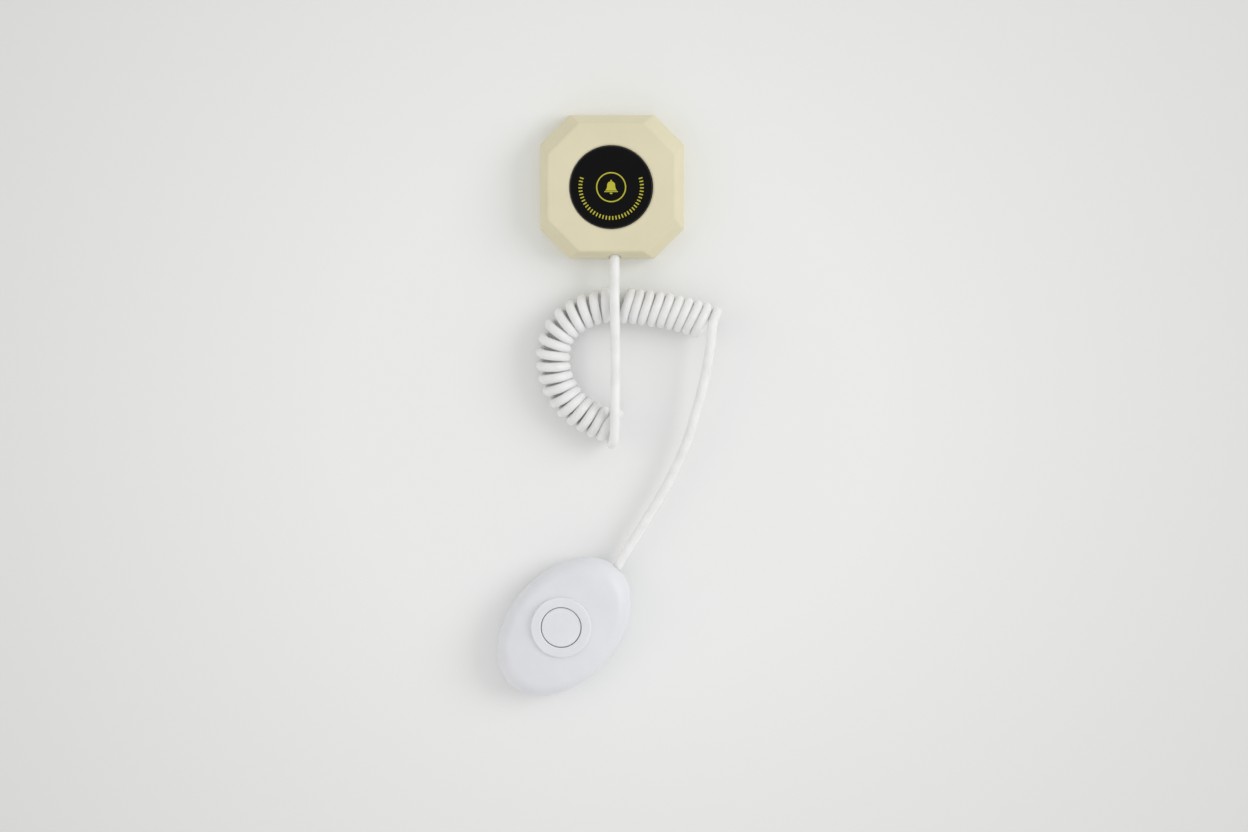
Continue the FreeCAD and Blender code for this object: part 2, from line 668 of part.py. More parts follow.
def make_minus_contact():
    back = -(cell_half + LEAF_REACH)
    tip = back + LEAF_REACH - LEAF_GAP
    plate = contact_plate(back - CONTACT_THICK, -1)
    leaf = [(back, cell_z + LEAF_HALF_HEIGHT), (tip, cell_z), (back, cell_z - LEAF_HALF_HEIGHT),
            (back, cell_z - LEAF_HALF_HEIGHT + LEAF_THICK), (tip - LEAF_THICK, cell_z),
            (back, cell_z + LEAF_HALF_HEIGHT - LEAF_THICK)]
    points = [V(x, cell_y - LEAF_WIDTH / 2, z) for x, z in leaf]
    spring = Part.Face(Part.makePolygon(points + points[:1])).extrude(V(0, LEAF_WIDTH, 0))
    return plate.fuse(spring).removeSplitter()


def make_cord_clamp():
    """Bar under the cord's collar, screwed to the ribs that hold it."""
    half = collar_radius + COLLAR_GAP + CRADLE_RIB + CLAMP_EAR
    top = exit_z - collar_radius
    bar = block(EXIT_X - half, EXIT_X + half, collar_face_y, collar_face_y + COLLAR_LENGTH,
                top - CLAMP_THICK, top)
    for x, y in clamp_screw_places():
        bar = bar.cut(disc(small_pilot_radius, 0, UNIT_DEPTH, x, y))
    return bar


def hand_entry_block():
    """Holder of the cord's collar, made for the round form of the shells."""
    stretch = HAND_LENGTH / HAND_WIDTH
    turn = math.radians(ENTRY_TURN)
    half = ENTRY_BLOCK_WIDTH / 2
    holder = block(-ENTRY_WALL - COLLAR_LENGTH, -ENTRY_BLOCK_INSET, -half * stretch, half * stretch,
                   -half, half)
    holder.rotate(V(0, 0, 0), UP, math.degrees(math.atan2(math.sin(turn) * stretch, math.cos(turn))))
    holder.translate(V(hand_a, 0, HAND_SPLIT))
    return holder


def hand_entry_cuts():
    """The cord's hole and the collar's pocket."""
    hole = rod(cord_hole_radius, -ENTRY_WALL - OVERSHOOT, CORD_DIA)
    pocket = rod(collar_radius + COLLAR_GAP, -ENTRY_WALL - COLLAR_LENGTH - OVERSHOOT, -ENTRY_WALL)
    return [entry_place(hole), entry_place(pocket)]


def hand_bosses(radius, z_low, top_of):
    """Upright pieces on the shell screws, made for the round form of the shells."""
    pieces = []
    for x, y in HAND_SCREW_PLACES:
        place = math.hypot(x, y * HAND_LENGTH / HAND_WIDTH)
        pieces.append(disc(radius, z_low, top_of(place), x, y * HAND_LENGTH / HAND_WIDTH))
    return pieces


def make_hand_front():
    # The section: two arcs outside, the same two inside, and the tongue below the joint
    lean = math.degrees(math.atan2(HAND_SPLIT - dome_middle, rim_middle))
    middle = HAND_WALL / 2
    inner = hand_a - HAND_WALL
    tongue = hand_a - HAND_WALL / 2 - HAND_LIP_GAP
    low = HAND_SPLIT - HAND_LIP
    edges = [arc(rim_middle, HAND_SPLIT, HAND_RIM_ROUND, 0, lean),
             arc(0, dome_middle, dome_radius, lean, 90), line(0, HAND_CROWN, 0, dome_inside),
             arc(0, dome_middle, dome_radius - HAND_WALL, 90, lean),
             arc(rim_middle, HAND_SPLIT, HAND_RIM_ROUND - HAND_WALL, lean, 0),
             line(inner, HAND_SPLIT, inner, low), line(inner, low, tongue, low),
             line(tongue, low, tongue, HAND_SPLIT), line(tongue, HAND_SPLIT, hand_a, HAND_SPLIT)]
    shell = Part.Face(Part.Wire(edges)).revolve(V(0, 0, 0), UP, 360)

    # Bosses end within the thickness of the dome
    def boss_top(place):
        near = dome_height(place - HAND_BOSS_DIA / 2) - HAND_WALL
        return (near + dome_height(place + HAND_BOSS_DIA / 2)) / 2

    # The holder ends at the middle of the wall
    room = [arc(rim_middle, HAND_SPLIT, HAND_RIM_ROUND - middle, 0, lean),
            arc(0, dome_middle, dome_radius - middle, lean, 90),
            line(0, HAND_CROWN - middle, 0, HAND_SPLIT), line(0, HAND_SPLIT, hand_a - middle, HAND_SPLIT)]
    above = Part.Face(Part.Wire(room)).revolve(V(0, 0, 0), UP, 360)
    inside = hand_bosses(HAND_BOSS_DIA / 2, HAND_PILLAR_TOP, boss_top)
    inside.append(hand_entry_block().common(above))
    for piece in inside:
        shell = shell.fuse(piece)
    shell = oval(shell)

    root = HAND_CROWN - RING_ROOT * HAND_WALL
    ring = disc(RING_DIA / 2, root, RING_TOP, PUSH_OFFSET, PUSH_ACROSS)
    rim = [e for e in ring.Edges if e.BoundBox.ZMin > (root + RING_TOP) / 2]
    ring = ring.makeFillet(RING_EDGE_ROUND, rim)
    seat = disc(push_hole_radius + SEAT_COLLAR_WALL, push_seat, root, PUSH_OFFSET, PUSH_ACROSS)
    shell = shell.fuse(ring.fuse(seat))

    mouth = push_hole_radius + RING_MOUTH_CHAMFER
    mouth_floor = RING_TOP - RING_MOUTH_CHAMFER
    cuts = [disc(push_hole_radius, HAND_SPLIT, RING_TOP + OVERSHOOT, PUSH_OFFSET, PUSH_ACROSS)]
    cuts.append(turned([(0, mouth_floor), (push_hole_radius, mouth_floor), (mouth, RING_TOP),
                        (mouth, RING_TOP + OVERSHOOT), (0, RING_TOP + OVERSHOOT)],
                       PUSH_OFFSET, PUSH_ACROSS))
    pilot_top = HAND_HEAD_SINK + HAND_HEAD_HEIGHT + HAND_SCREW_LENGTH + PILOT_SPARE
    cuts += [disc(hand_pilot_radius, 0, pilot_top, x, y) for x, y in HAND_SCREW_PLACES]
    cuts += hand_entry_cuts()
    for tool in cuts:
        shell = shell.cut(tool)
    return shell


def make_hand_rear():
    # The section: a quarter arc outside and inside, and the groove for the tongue
    outside_round = HAND_SPLIT + HAND_REAR_SKIM
    flat = hand_a - outside_round
    groove = hand_a - HAND_WALL / 2
    ledge = HAND_SPLIT - HAND_LIP - HAND_LIP_GAP
    inside_round = outside_round - HAND_WALL
    floor = HAND_SPLIT - inside_round
    drop = -math.degrees(math.asin((HAND_SPLIT - ledge) / inside_round))
    ledge_r = flat + inside_round * math.cos(math.radians(drop))
    edges = [arc(flat, HAND_SPLIT, outside_round, 0, -90), line(flat, -HAND_REAR_SKIM, 0, -HAND_REAR_SKIM),
             line(0, -HAND_REAR_SKIM, 0, floor), line(0, floor, flat, floor),
             arc(flat, HAND_SPLIT, inside_round, -90, drop),
             line(ledge_r, ledge, groove, ledge), line(groove, ledge, groove, HAND_SPLIT),
             line(groove, HAND_SPLIT, hand_a, HAND_SPLIT)]
    shell = Part.Face(Part.Wire(edges)).revolve(V(0, 0, 0), UP, 360)

    # The holder ends at the middle of the wall, and below the groove
    middle = HAND_WALL / 2
    room_round = outside_round - middle
    side = -math.degrees(math.asin((HAND_SPLIT - ledge) / room_round))
    side_r = flat + room_round * math.cos(math.radians(side))
    low = HAND_SPLIT - room_round
    room = [arc(flat, HAND_SPLIT, room_round, side, -90), line(flat, low, 0, low),
            line(0, low, 0, ledge), line(0, ledge, side_r, ledge)]
    below = Part.Face(Part.Wire(room)).revolve(V(0, 0, 0), UP, 360)
    inside = hand_bosses(HAND_PILLAR_DIA / 2, low, lambda place: HAND_PILLAR_TOP)
    inside.append(hand_entry_block().common(below))
    for piece in inside:
        shell = shell.fuse(piece)
    shell = oval(shell).cut(block(-hand_a, hand_a, -hand_a, hand_a, -OVERSHOOT, 0))
    for x in hand_post_places():
        shell = shell.fuse(disc(HAND_POST_DIA / 2, HAND_WALL / 2, HAND_BOARD_Z, x, 0))

    cuts = hand_entry_cuts()
    post_floor = hand_board_top - SMALL_SCREW_LENGTH - PILOT_SPARE
    cuts += [disc(small_pilot_radius, post_floor, HAND_CROWN, x, 0) for x in hand_post_places()]
    for x, y in HAND_SCREW_PLACES:
        cuts.append(disc(HAND_HEAD_DIA / 2 + HAND_HEAD_GAP, -OVERSHOOT,
                         HAND_HEAD_SINK + HAND_HEAD_HEIGHT, x, y))
        cuts.append(disc(hand_pilot_radius + THREAD_GAP, -OVERSHOOT, HAND_CROWN, x, y))
    for tool in cuts:
        shell = shell.cut(tool)
    return shell


def hand_post_places():
    return [HAND_BOARD_X - HAND_POST_SPACING / 2, HAND_BOARD_X + HAND_POST_SPACING / 2]


def make_push_button():
    flange_bottom = push_flange_top - PUSH_FLANGE_THICK
    edge = push_top - PUSH_CROWN
    under = edge - PUSH_CAP_WALL
    bore = push_radius - PUSH_CAP_WALL
    r = PUSH_EDGE_ROUND
    span = push_radius - r
    crown_radius = (span ** 2 + PUSH_CROWN ** 2) / (2 * PUSH_CROWN)
    crown_middle = push_top - crown_radius
    top = arc(0, crown_middle, crown_radius, math.degrees(math.atan2(edge - crown_middle, span)), 90)
    corner = arc(span, edge - r, r, 0, 90)
    lap = push_flange_radius
    edges = [line(0, push_top, 0, under), line(0, under, bore, under),
             line(bore, under, bore, flange_bottom), line(bore, flange_bottom, lap, flange_bottom),
             line(lap, flange_bottom, lap, push_flange_top),
             line(lap, push_flange_top, push_radius, push_flange_top),
             line(push_radius, push_flange_top, push_radius, edge - r), corner, top]
    face = Part.Face(Part.Wire(Part.__sortEdges__(edges)))
    cap = face.revolve(V(0, 0, 0), UP, 360)
    cap = cap.fuse(disc(PUSH_STEM_DIA / 2, hand_plunger_top, under))
    cap.translate(V(PUSH_OFFSET, PUSH_ACROSS, 0))
    return cap.removeSplitter()


def make_hand_board():
    board = oval_disc(HAND_BOARD_LENGTH / 2, HAND_BOARD_WIDTH / 2, HAND_BOARD_Z, hand_board_top)
    board.translate(V(HAND_BOARD_X, 0, 0))
    for x in hand_post_places():
        board = board.cut(disc(small_pilot_radius, 0, UNIT_DEPTH, x, 0))
    return board


# Cord: control points of its route, in the order from the wall unit to the hand unit
BOX_LEAD = [
    (EXIT_X, collar_face_y, exit_z), (1.5, -34.5, 12.7), (1.5, -41.5, 16.6), (1.5, -48.5, 21.3),
    (1.45, -58.5, 21.7), (1.4, -71.0, 19.0), (1.3, -85.5, 16.5), (0.8, -98.0, 14.9),
    (0.2, -109.0, 13.7)]
COIL_AXIS = [
    (3.0, -108.4), (-11.9, -104.0), (-25.7, -88.8), (-26.3, -65.4), (-7.3, -52.9), (13.8, -54.2),
    (34.6, -58.0), (47.2, -62.9)]
HAND_LEAD = [
    (45.9, -57.0, 13.4), (44.5, -65.9, 13.3), (42.1, -83.7, 12.6), (37.3, -101.5, 11.7),
    (31.5, -118.5, 11.0), (23.4, -134.9, 10.4), (13.6, -150.1, 9.7), (5.5, -165.5, 8.4)]


def hand_lead_end():
    """Middle of the collar's outer face, in the frame of the whole set."""
    marker = hand_place(entry_place(Part.Vertex(V(-ENTRY_WALL, 0, 0))))
    return (marker.Point.x, marker.Point.y, marker.Point.z)


os.makedirs("parts", exist_ok=True)

save("front_cover", make_front_cover())
save("back_plate", make_back_plate())
cap, film = make_call_button()
save("call_button_cap", cap)
save("call_button_film", film)
save("circuit_board", make_circuit_board())
save("call_switch", switch_body(board_top, CALL_TRAVEL))
save("call_switch_plunger", plunger(board_top))
save("transmitter_chip", make_chip())
save("resonator_can", make_can())
save("antenna_loop", make_antenna())
save("cord_socket", make_socket())
save("battery", make_cell())
save("battery_contact_plus", make_plus_contact())
save("battery_contact_minus", make_minus_contact())
save("cover_screws", Part.makeCompound([
    sunk_screw(SCREW_DIA / 2, SCREW_HEAD_DIA / 2, SCREW_HEAD_SINK, SCREW_LENGTH, 0, x, y)
    for x, y in boss_places()]))
save("board_screws", Part.makeCompound([
    pan_screw(SMALL_SCREW_DIA / 2, SMALL_HEAD_DIA / 2, SMALL_HEAD_HEIGHT, SMALL_SCREW_LENGTH,
              board_bottom, x, y) for x, y in post_places()]))
clamp_seat = exit_z - collar_radius - CLAMP_THICK
save("cord_clamp", make_cord_clamp())
save("clamp_screws", Part.makeCompound([
    pan_screw(SMALL_SCREW_DIA / 2, SMALL_HEAD_DIA / 2, SMALL_HEAD_HEIGHT, SMALL_SCREW_LENGTH,
              clamp_seat, x, y) for x, y in clamp_screw_places()]))
save("unit_cord_collar", Part.makeCylinder(collar_radius, COLLAR_LENGTH,
                                           V(EXIT_X, collar_face_y, exit_z), V(0, 1, 0)))

save("cord_unit_lead", tube("cord_unit_lead", BOX_LEAD, cord_radius))
save("cord_coil", tube("cord_coil", [(x, y, COIL_OUTER_DIA / 2) for x, y in COIL_AXIS],
                       COIL_OUTER_DIA / 2))
save("cord_hand_lead", tube("cord_hand_lead", HAND_LEAD + [hand_lead_end()], cord_radius))

save("hand_front_shell", hand_place(make_hand_front()))
save("hand_rear_shell", hand_place(make_hand_rear()))
save("push_button", hand_place(make_push_button()))
save("hand_circuit_board", hand_place(make_hand_board()))
save("push_switch", hand_place(switch_body(hand_board_top, PUSH_TRAVEL, PUSH_OFFSET, PUSH_ACROSS)))
save("push_switch_plunger", hand_place(plunger(hand_board_top, PUSH_OFFSET, PUSH_ACROSS)))
save("hand_board_screws", hand_place(Part.makeCompound([
    down_screw(SMALL_SCREW_DIA / 2, SMALL_HEAD_DIA / 2, SMALL_HEAD_HEIGHT, SMALL_SCREW_LENGTH,
               hand_board_top, x, 0) for x in hand_post_places()])))
save("hand_shell_screws", hand_place(Part.makeCompound([
    pan_screw(HAND_SCREW_DIA / 2, HAND_HEAD_DIA / 2, HAND_HEAD_HEIGHT, HAND_SCREW_LENGTH,
              HAND_HEAD_SINK + HAND_HEAD_HEIGHT, x, y) for x, y in HAND_SCREW_PLACES])))
save("hand_cord_collar", hand_place(entry_place(rod(collar_radius, -ENTRY_WALL - COLLAR_LENGTH,
                                                    -ENTRY_WALL))))
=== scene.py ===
import logging
import math
import random
from dataclasses import dataclass
from enum import Enum
from typing import Callable, Iterable, Optional, Sequence

import bmesh
import bpy
from mathutils import Matrix, Vector


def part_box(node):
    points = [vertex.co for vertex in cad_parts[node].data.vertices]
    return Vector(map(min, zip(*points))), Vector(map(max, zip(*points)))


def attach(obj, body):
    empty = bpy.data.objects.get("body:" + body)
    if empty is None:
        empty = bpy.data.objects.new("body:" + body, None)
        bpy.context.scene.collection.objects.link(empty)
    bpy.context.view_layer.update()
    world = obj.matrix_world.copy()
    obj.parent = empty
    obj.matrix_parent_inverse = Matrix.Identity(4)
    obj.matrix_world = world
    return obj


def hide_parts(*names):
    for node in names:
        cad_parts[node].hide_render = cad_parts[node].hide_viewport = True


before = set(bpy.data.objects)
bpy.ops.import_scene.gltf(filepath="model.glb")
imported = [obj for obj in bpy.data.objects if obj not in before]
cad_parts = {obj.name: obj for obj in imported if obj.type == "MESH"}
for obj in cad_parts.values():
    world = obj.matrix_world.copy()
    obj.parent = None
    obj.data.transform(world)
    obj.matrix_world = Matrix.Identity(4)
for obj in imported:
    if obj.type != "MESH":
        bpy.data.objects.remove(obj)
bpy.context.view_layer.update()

LOG = logging.getLogger("bedside_call_button")
MM = 0.001
Point = tuple[float, float, float]
Flat = tuple[float, float]

# The middle of the table in metres, which the lamps aim at
SET_MIDDLE: Point = (0.0, -0.1, 0.0)
# A noise's fine lumps, and the part of its range that it mostly keeps to, spread over 0 to 1
LUMP_ROUGHNESS = 0.55
LUMP_RANGE = {"From Min": 0.3, "From Max": 0.7, "To Min": 0.0, "To Max": 1.0}
# Light of every colour goes equally far into white plastic
EVEN_GLOW = (1.0, 1.0, 1.0)
# A wave texture at scale 1 repeats after this length
WAVE_LENGTH = math.tau / 20
# A colour Mix node's sockets by number, because others of its sockets have the same names
MIX_SHARE, MIX_FIRST, MIX_SECOND, MIX_RESULT = 0, 6, 7, 2
# The cord's splines are quadratic. Abreast of a control point they take this share of it, and
# share the rest between its two neighbours
SPLINE_ORDER = 3
SPLINE_OWN = 0.75


def mm(point: Sequence[float]) -> Vector:
    """Turn a point in millimetres into one in metres."""
    return Vector([value * MM for value in point])


def a_metre(size: float) -> float:
    """Count how many lumps of a size in millimetres fit in a metre."""
    return 1 / (size * MM)


def linear(code: str) -> tuple[float, float, float, float]:
    """Turn an sRGB hex colour into linear light.

    Args:
        code: Six hex digits after a "#".

    Returns:
        Red, green, blue and full opacity.
    """
    parts = [int(code[i:i + 2], 16) / 255 for i in (1, 3, 5)]
    light = [p / 12.92 if p <= 0.04045 else ((p + 0.055) / 1.055) ** 2.4 for p in parts]
    return (light[0], light[1], light[2], 1.0)


def add_node(tree: bpy.types.NodeTree, kind: str, inputs: Optional[dict] = None,
             **settings: object) -> bpy.types.Node:
    """Add one node to a tree.

    Args:
        tree: The material's or world's node tree.
        kind: The node's type name.
        inputs: Socket name or number to a value or to another node's output.
        settings: Properties of the node itself.

    Returns:
        The new node.
    """
    node = tree.nodes.new(kind)
    for name, value in settings.items():
        setattr(node, name, value)
    for socket, value in (inputs or {}).items():
        if isinstance(value, bpy.types.NodeSocket):
            tree.links.new(value, node.inputs[socket])
        else:
            node.inputs[socket].default_value = value
    return node


class Axis(Enum):
    """Direction that fine lines follow, as how much finer they are along X, Y and Z."""

    Y = (12.0, 1.0, 12.0)
    Z = (12.0, 12.0, 1.0)


@dataclass(frozen=True)
class Finish:
    """What every finish has: a name, two colours and how rough it is. Sizes are in millimetres."""

    name: str
    colour: str
    roughness: float
    shade: str
    # How far the roughness wanders, below and above
    uneven: Flat = (0.0, 0.0)

    def tints(self) -> dict[int, tuple[float, float, float, float]]:
        """Give the colour and its shade as the two inputs of a colour Mix node."""
        return {MIX_FIRST: linear(self.colour), MIX_SECOND: linear(self.shade)}

    def rough_range(self) -> dict[str, float]:
        """Give the uneven roughness as the results of a Map Range node."""
        return {"To Min": self.roughness + self.uneven[0],
                "To Max": self.roughness + self.uneven[1]}

    def begin(self) -> tuple[bpy.types.Material, bpy.types.NodeTree, bpy.types.NodeSocket]:
        """Make an empty node material.

        Returns:
            The material, its tree, and the output of the object's own coordinates.
        """
        material = bpy.data.materials.new(self.name)
        material.use_nodes = True
        material.node_tree.nodes.clear()
        material.diffuse_color = linear(self.colour)
        where = add_node(material.node_tree, "ShaderNodeTexCoord").outputs["Object"]
        return material, material.node_tree, where

    def finish(self, material: bpy.types.Material, colour: bpy.types.NodeSocket,
               roughness: bpy.types.NodeSocket, bump: bpy.types.NodeSocket, depth: float,
               worn_edge: float = 0.0,
               **constants: float | tuple[float, ...]) -> bpy.types.Material:
        """Join the shader up.

        Args:
            material: The material that was begun.
            colour: Base colour.
            roughness: Roughness.
            bump: Height from 0 to 1.
            depth: Millimetres that a height of 1 stands for.
            worn_edge: Millimetres over which an edge looks worn soft; 0 leaves it crisp.
            constants: The shader's plain numbers, by socket name with "_" for a space.

        Returns:
            The material.
        """
        tree = material.node_tree
        relief = add_node(tree, "ShaderNodeBump",
                          {"Height": bump, "Distance": depth * MM, "Strength": 1.0})
        if worn_edge:
            soft = add_node(tree, "ShaderNodeBevel", {"Radius": worn_edge * MM}, samples=6)
            tree.links.new(soft.outputs["Normal"], relief.inputs["Normal"])
        shader = add_node(tree, "ShaderNodeBsdfPrincipled",
                          {"Base Color": colour, "Roughness": roughness,
                           "Normal": relief.outputs["Normal"]})
        for name, value in constants.items():
            shader.inputs[name.replace("_", " ")].default_value = value
        add_node(tree, "ShaderNodeOutputMaterial", {"Surface": shader.outputs["BSDF"]})
        return material


@dataclass(frozen=True)
class Moulded(Finish):
    """Moulded plastic with the mould's grain, faint clouding and rubbed edges."""

    # A real mould's grain is nearer 0.1 mm, too fine to show, so most are drawn coarser
    grain: float = 0.4
    # Height of the grain
    depth: float = 0.006
    # Size of the clouds in the colour, and of the handling marks as a share of it
    cloud: float = 12.0
    handling: float = 0.4
    uneven: Flat = (-0.035, 0.035)
    # Roughness that edges lose by rubbing, from the first pointiness to the second
    rub: float = 0.06
    rub_from: float = 0.52
    rub_to: float = 0.6
    gloss: float = 0.5
    # Milkiness, how far light goes in, and over what width edges look worn soft
    glow: float = 0.0
    glow_reach: float = 1.5
    worn_edge: float = 0.0

    def build(self) -> bpy.types.Material:
        """Make the material.

        Returns:
            The finished material.
        """
        material, tree, where = self.begin()
        cloud = add_node(tree, "ShaderNodeTexNoise",
                         {"Vector": where, "Scale": a_metre(self.cloud), "Detail": 3.0,
                          "Roughness": LUMP_ROUGHNESS})
        share = add_node(tree, "ShaderNodeMapRange", {"Value": cloud.outputs["Fac"], **LUMP_RANGE})
        colour = add_node(tree, "ShaderNodeMix",
                          {MIX_SHARE: share.outputs["Result"], **self.tints()},
                          data_type="RGBA")
        edge = add_node(tree, "ShaderNodeNewGeometry")
        rubbed = add_node(tree, "ShaderNodeMapRange",
                          {"Value": edge.outputs["Pointiness"], "From Min": self.rub_from,
                           "From Max": self.rub_to, "To Min": self.roughness,
                           "To Max": self.roughness - self.rub})
        handled = add_node(tree, "ShaderNodeTexNoise",
                           {"Vector": where, "Scale": a_metre(self.cloud * self.handling),
                            "Detail": 2.0, "Roughness": LUMP_ROUGHNESS})
        patch = add_node(tree, "ShaderNodeMapRange",
                         {"Value": handled.outputs["Fac"], **LUMP_RANGE,
                          "To Min": self.uneven[0], "To Max": self.uneven[1]})
        rough = add_node(tree, "ShaderNodeMath",
                         {0: rubbed.outputs["Result"], 1: patch.outputs["Result"]},
                         operation="ADD")
        grain = add_node(tree, "ShaderNodeTexNoise",
                         {"Vector": where, "Scale": a_metre(self.grain), "Detail": 4.0,
                          "Roughness": LUMP_ROUGHNESS})
        return self.finish(material, colour.outputs[MIX_RESULT], rough.outputs[0],
                           grain.outputs["Fac"], self.depth, self.worn_edge,
                           Specular_IOR_Level=self.gloss,
                           Subsurface_Weight=self.glow, Subsurface_Scale=self.glow_reach * MM,
                           Subsurface_Radius=EVEN_GLOW)


@dataclass(frozen=True)
class PaperWithPaintedShade(Finish):
    """Matt paper with a faint tooth and painted shade: greyer from one distance to another off its
    middle.
    """

    # Where the painted shade is lightest, in metres, and where it starts and stops turning the
    # paper grey
    middle: Point = SET_MIDDLE
    near: float = 120.0
    far: float = 360.0
    # Real paper's fibres are finer, too fine to show
    tooth: float = 1.0
    depth: float = 0.01
    uneven: Flat = (-0.03, 0.03)
    gloss: float = 0.1

    def build(self) -> bpy.types.Material:
        """Make the material.

        Returns:
            The finished material.
        """
        material, tree, where = self.begin()
        centred = add_node(tree, "ShaderNodeMapping",
                           {"Vector": where, "Location": -Vector(self.middle)})
        place = centred.outputs["Vector"]
        # Painted shade: the colour turns to the grey shade with distance from the middle, standing
        # in for light falling off
        away = add_node(tree, "ShaderNodeVectorMath", {0: place}, operation="LENGTH")
        share = add_node(tree, "ShaderNodeMapRange",
                         {"Value": away.outputs["Value"], "From Min": self.near * MM,
                          "From Max": self.far * MM, "To Min": 0.0, "To Max": 1.0})
        colour = add_node(tree, "ShaderNodeMix",
                          {MIX_SHARE: share.outputs["Result"], **self.tints()},
                          data_type="RGBA")
        tooth = add_node(tree, "ShaderNodeTexNoise",
                         {"Vector": place, "Scale": a_metre(self.tooth), "Detail": 4.0,
                          "Roughness": LUMP_ROUGHNESS})
        rough = add_node(tree, "ShaderNodeMapRange",
                         {"Value": tooth.outputs["Fac"], **LUMP_RANGE, **self.rough_range()})
        return self.finish(material, colour.outputs[MIX_RESULT], rough.outputs["Result"],
                           tooth.outputs["Fac"], self.depth, Specular_IOR_Level=self.gloss)


@dataclass(frozen=True)
class Jacket(Finish):
    """Extruded cord jacket: a faint draw-down ripple, handling marks, a soft shine."""

    # Size of the handling marks, and where in their noise they start and are full
    mark: float = 9.0
    mark_from: float = 0.42
    mark_to: float = 0.72
    # Size of the patches of shine, and of the ripple and its height
    patch: float = 3.0
    uneven: Flat = (-0.05, 0.06)
    ripple: float = 1.2
    depth: float = 0.008
    gloss: float = 0.4
    glow: float = 0.7
    glow_reach: float = 3.0

    def build(self) -> bpy.types.Material:
        """Make the material.

        Returns:
            The finished material.
        """
        material, tree, where = self.begin()
        marks = add_node(tree, "ShaderNodeTexNoise",
                         {"Vector": where, "Scale": a_metre(self.mark), "Detail": 5.0,
                          "Roughness": LUMP_ROUGHNESS})
        share = add_node(tree, "ShaderNodeMapRange",
                         {"Value": marks.outputs["Fac"], "From Min": self.mark_from,
                          "From Max": self.mark_to, "To Min": 0.0, "To Max": 1.0})
        colour = add_node(tree, "ShaderNodeMix",
                          {MIX_SHARE: share.outputs["Result"], **self.tints()},
                          data_type="RGBA")
        patch = add_node(tree, "ShaderNodeTexNoise",
                         {"Vector": where, "Scale": a_metre(self.patch), "Detail": 2.0,
                          "Roughness": LUMP_ROUGHNESS})
        rough = add_node(tree, "ShaderNodeMapRange",
                         {"Value": patch.outputs["Fac"], **LUMP_RANGE, **self.rough_range()})
        ripple = add_node(tree, "ShaderNodeTexNoise",
                          {"Vector": where, "Scale": a_metre(self.ripple), "Detail": 3.0,
                           "Roughness": LUMP_ROUGHNESS})
        return self.finish(material, colour.outputs[MIX_RESULT], rough.outputs["Result"],
                           ripple.outputs["Fac"], self.depth, Subsurface_Weight=self.glow,
                           Subsurface_Scale=self.glow_reach * MM, Subsurface_Radius=EVEN_GLOW,
                           Specular_IOR_Level=self.gloss)


@dataclass(frozen=True)
class Drawn(Finish):
    """Bare metal with the fine lines that rolling or turning leaves."""

    lines: Axis = Axis.Z
    # Length of the lines, which lie about 0.2 mm apart: real ones are too fine to show
    pitch: float = 2.0
    depth: float = 0.008
    uneven: Flat = (-0.08, 0.1)

    def build(self) -> bpy.types.Material:
        """Make the material.

        Returns:
            The finished material.
        """
        material, tree, where = self.begin()
        along = add_node(tree, "ShaderNodeMapping", {"Vector": where, "Scale": self.lines.value})
        lines = add_node(tree, "ShaderNodeTexNoise",
                         {"Vector": along.outputs["Vector"], "Scale": a_metre(self.pitch),
                          "Detail": 5.0, "Roughness": LUMP_ROUGHNESS})
        share = add_node(tree, "ShaderNodeMapRange", {"Value": lines.outputs["Fac"], **LUMP_RANGE})
        colour = add_node(tree, "ShaderNodeMix",
                          {MIX_SHARE: share.outputs["Result"], **self.tints()},
                          data_type="RGBA")
        rough = add_node(tree, "ShaderNodeMapRange",
                         {"Value": lines.outputs["Fac"], **LUMP_RANGE, **self.rough_range()})
        return self.finish(material, colour.outputs[MIX_RESULT], rough.outputs["Result"],
                           lines.outputs["Fac"], self.depth, Metallic=1.0)


@dataclass(frozen=True)
class SolderMask(Finish):
    """Glass-fibre board under a mask, which is lighter over the copper tracks."""

    # How far apart tracks run along X and Y, and half a track's width as a share, top and foot
    cell: Flat = (4.762, 3.846)
    jumble: float = 0.75
    track_top: float = 0.04
    track_foot: float = 0.07
    # How far apart the glass threads lie, and how wavy they are
    weave: float = 0.349
    weave_wobble: float = 0.4
    depth: float = 0.03
    uneven: Flat = (0.0, 0.08)

    def build(self) -> bpy.types.Material:
        """Make the material.

        Returns:
            The finished material.
        """
        material, tree, where = self.begin()
        across, along = self.cell
        sized = add_node(tree, "ShaderNodeMapping",
                         {"Vector": where, "Scale": (a_metre(across), a_metre(along), 1.0)})
        cells = add_node(tree, "ShaderNodeTexVoronoi",
                         {"Vector": sized.outputs["Vector"], "Scale": 1.0,
                          "Randomness": self.jumble}, feature="DISTANCE_TO_EDGE")
        tracks = add_node(tree, "ShaderNodeMapRange",
                          {"Value": cells.outputs["Distance"], "From Min": self.track_top,
                           "From Max": self.track_foot, "To Min": 1.0, "To Max": 0.0})
        colour = add_node(tree, "ShaderNodeMix",
                          {MIX_SHARE: tracks.outputs["Result"], **self.tints()},
                          data_type="RGBA")
        weave = add_node(tree, "ShaderNodeTexWave",
                         {"Vector": where, "Scale": WAVE_LENGTH * a_metre(self.weave),
                          "Distortion": self.weave_wobble})
        rough = add_node(tree, "ShaderNodeMapRange",
                         {"Value": weave.outputs["Fac"], "From Min": 0.0, "From Max": 1.0,
                          **self.rough_range()})
        return self.finish(material, colour.outputs[MIX_RESULT], rough.outputs["Result"],
                           tracks.outputs["Result"], self.depth)


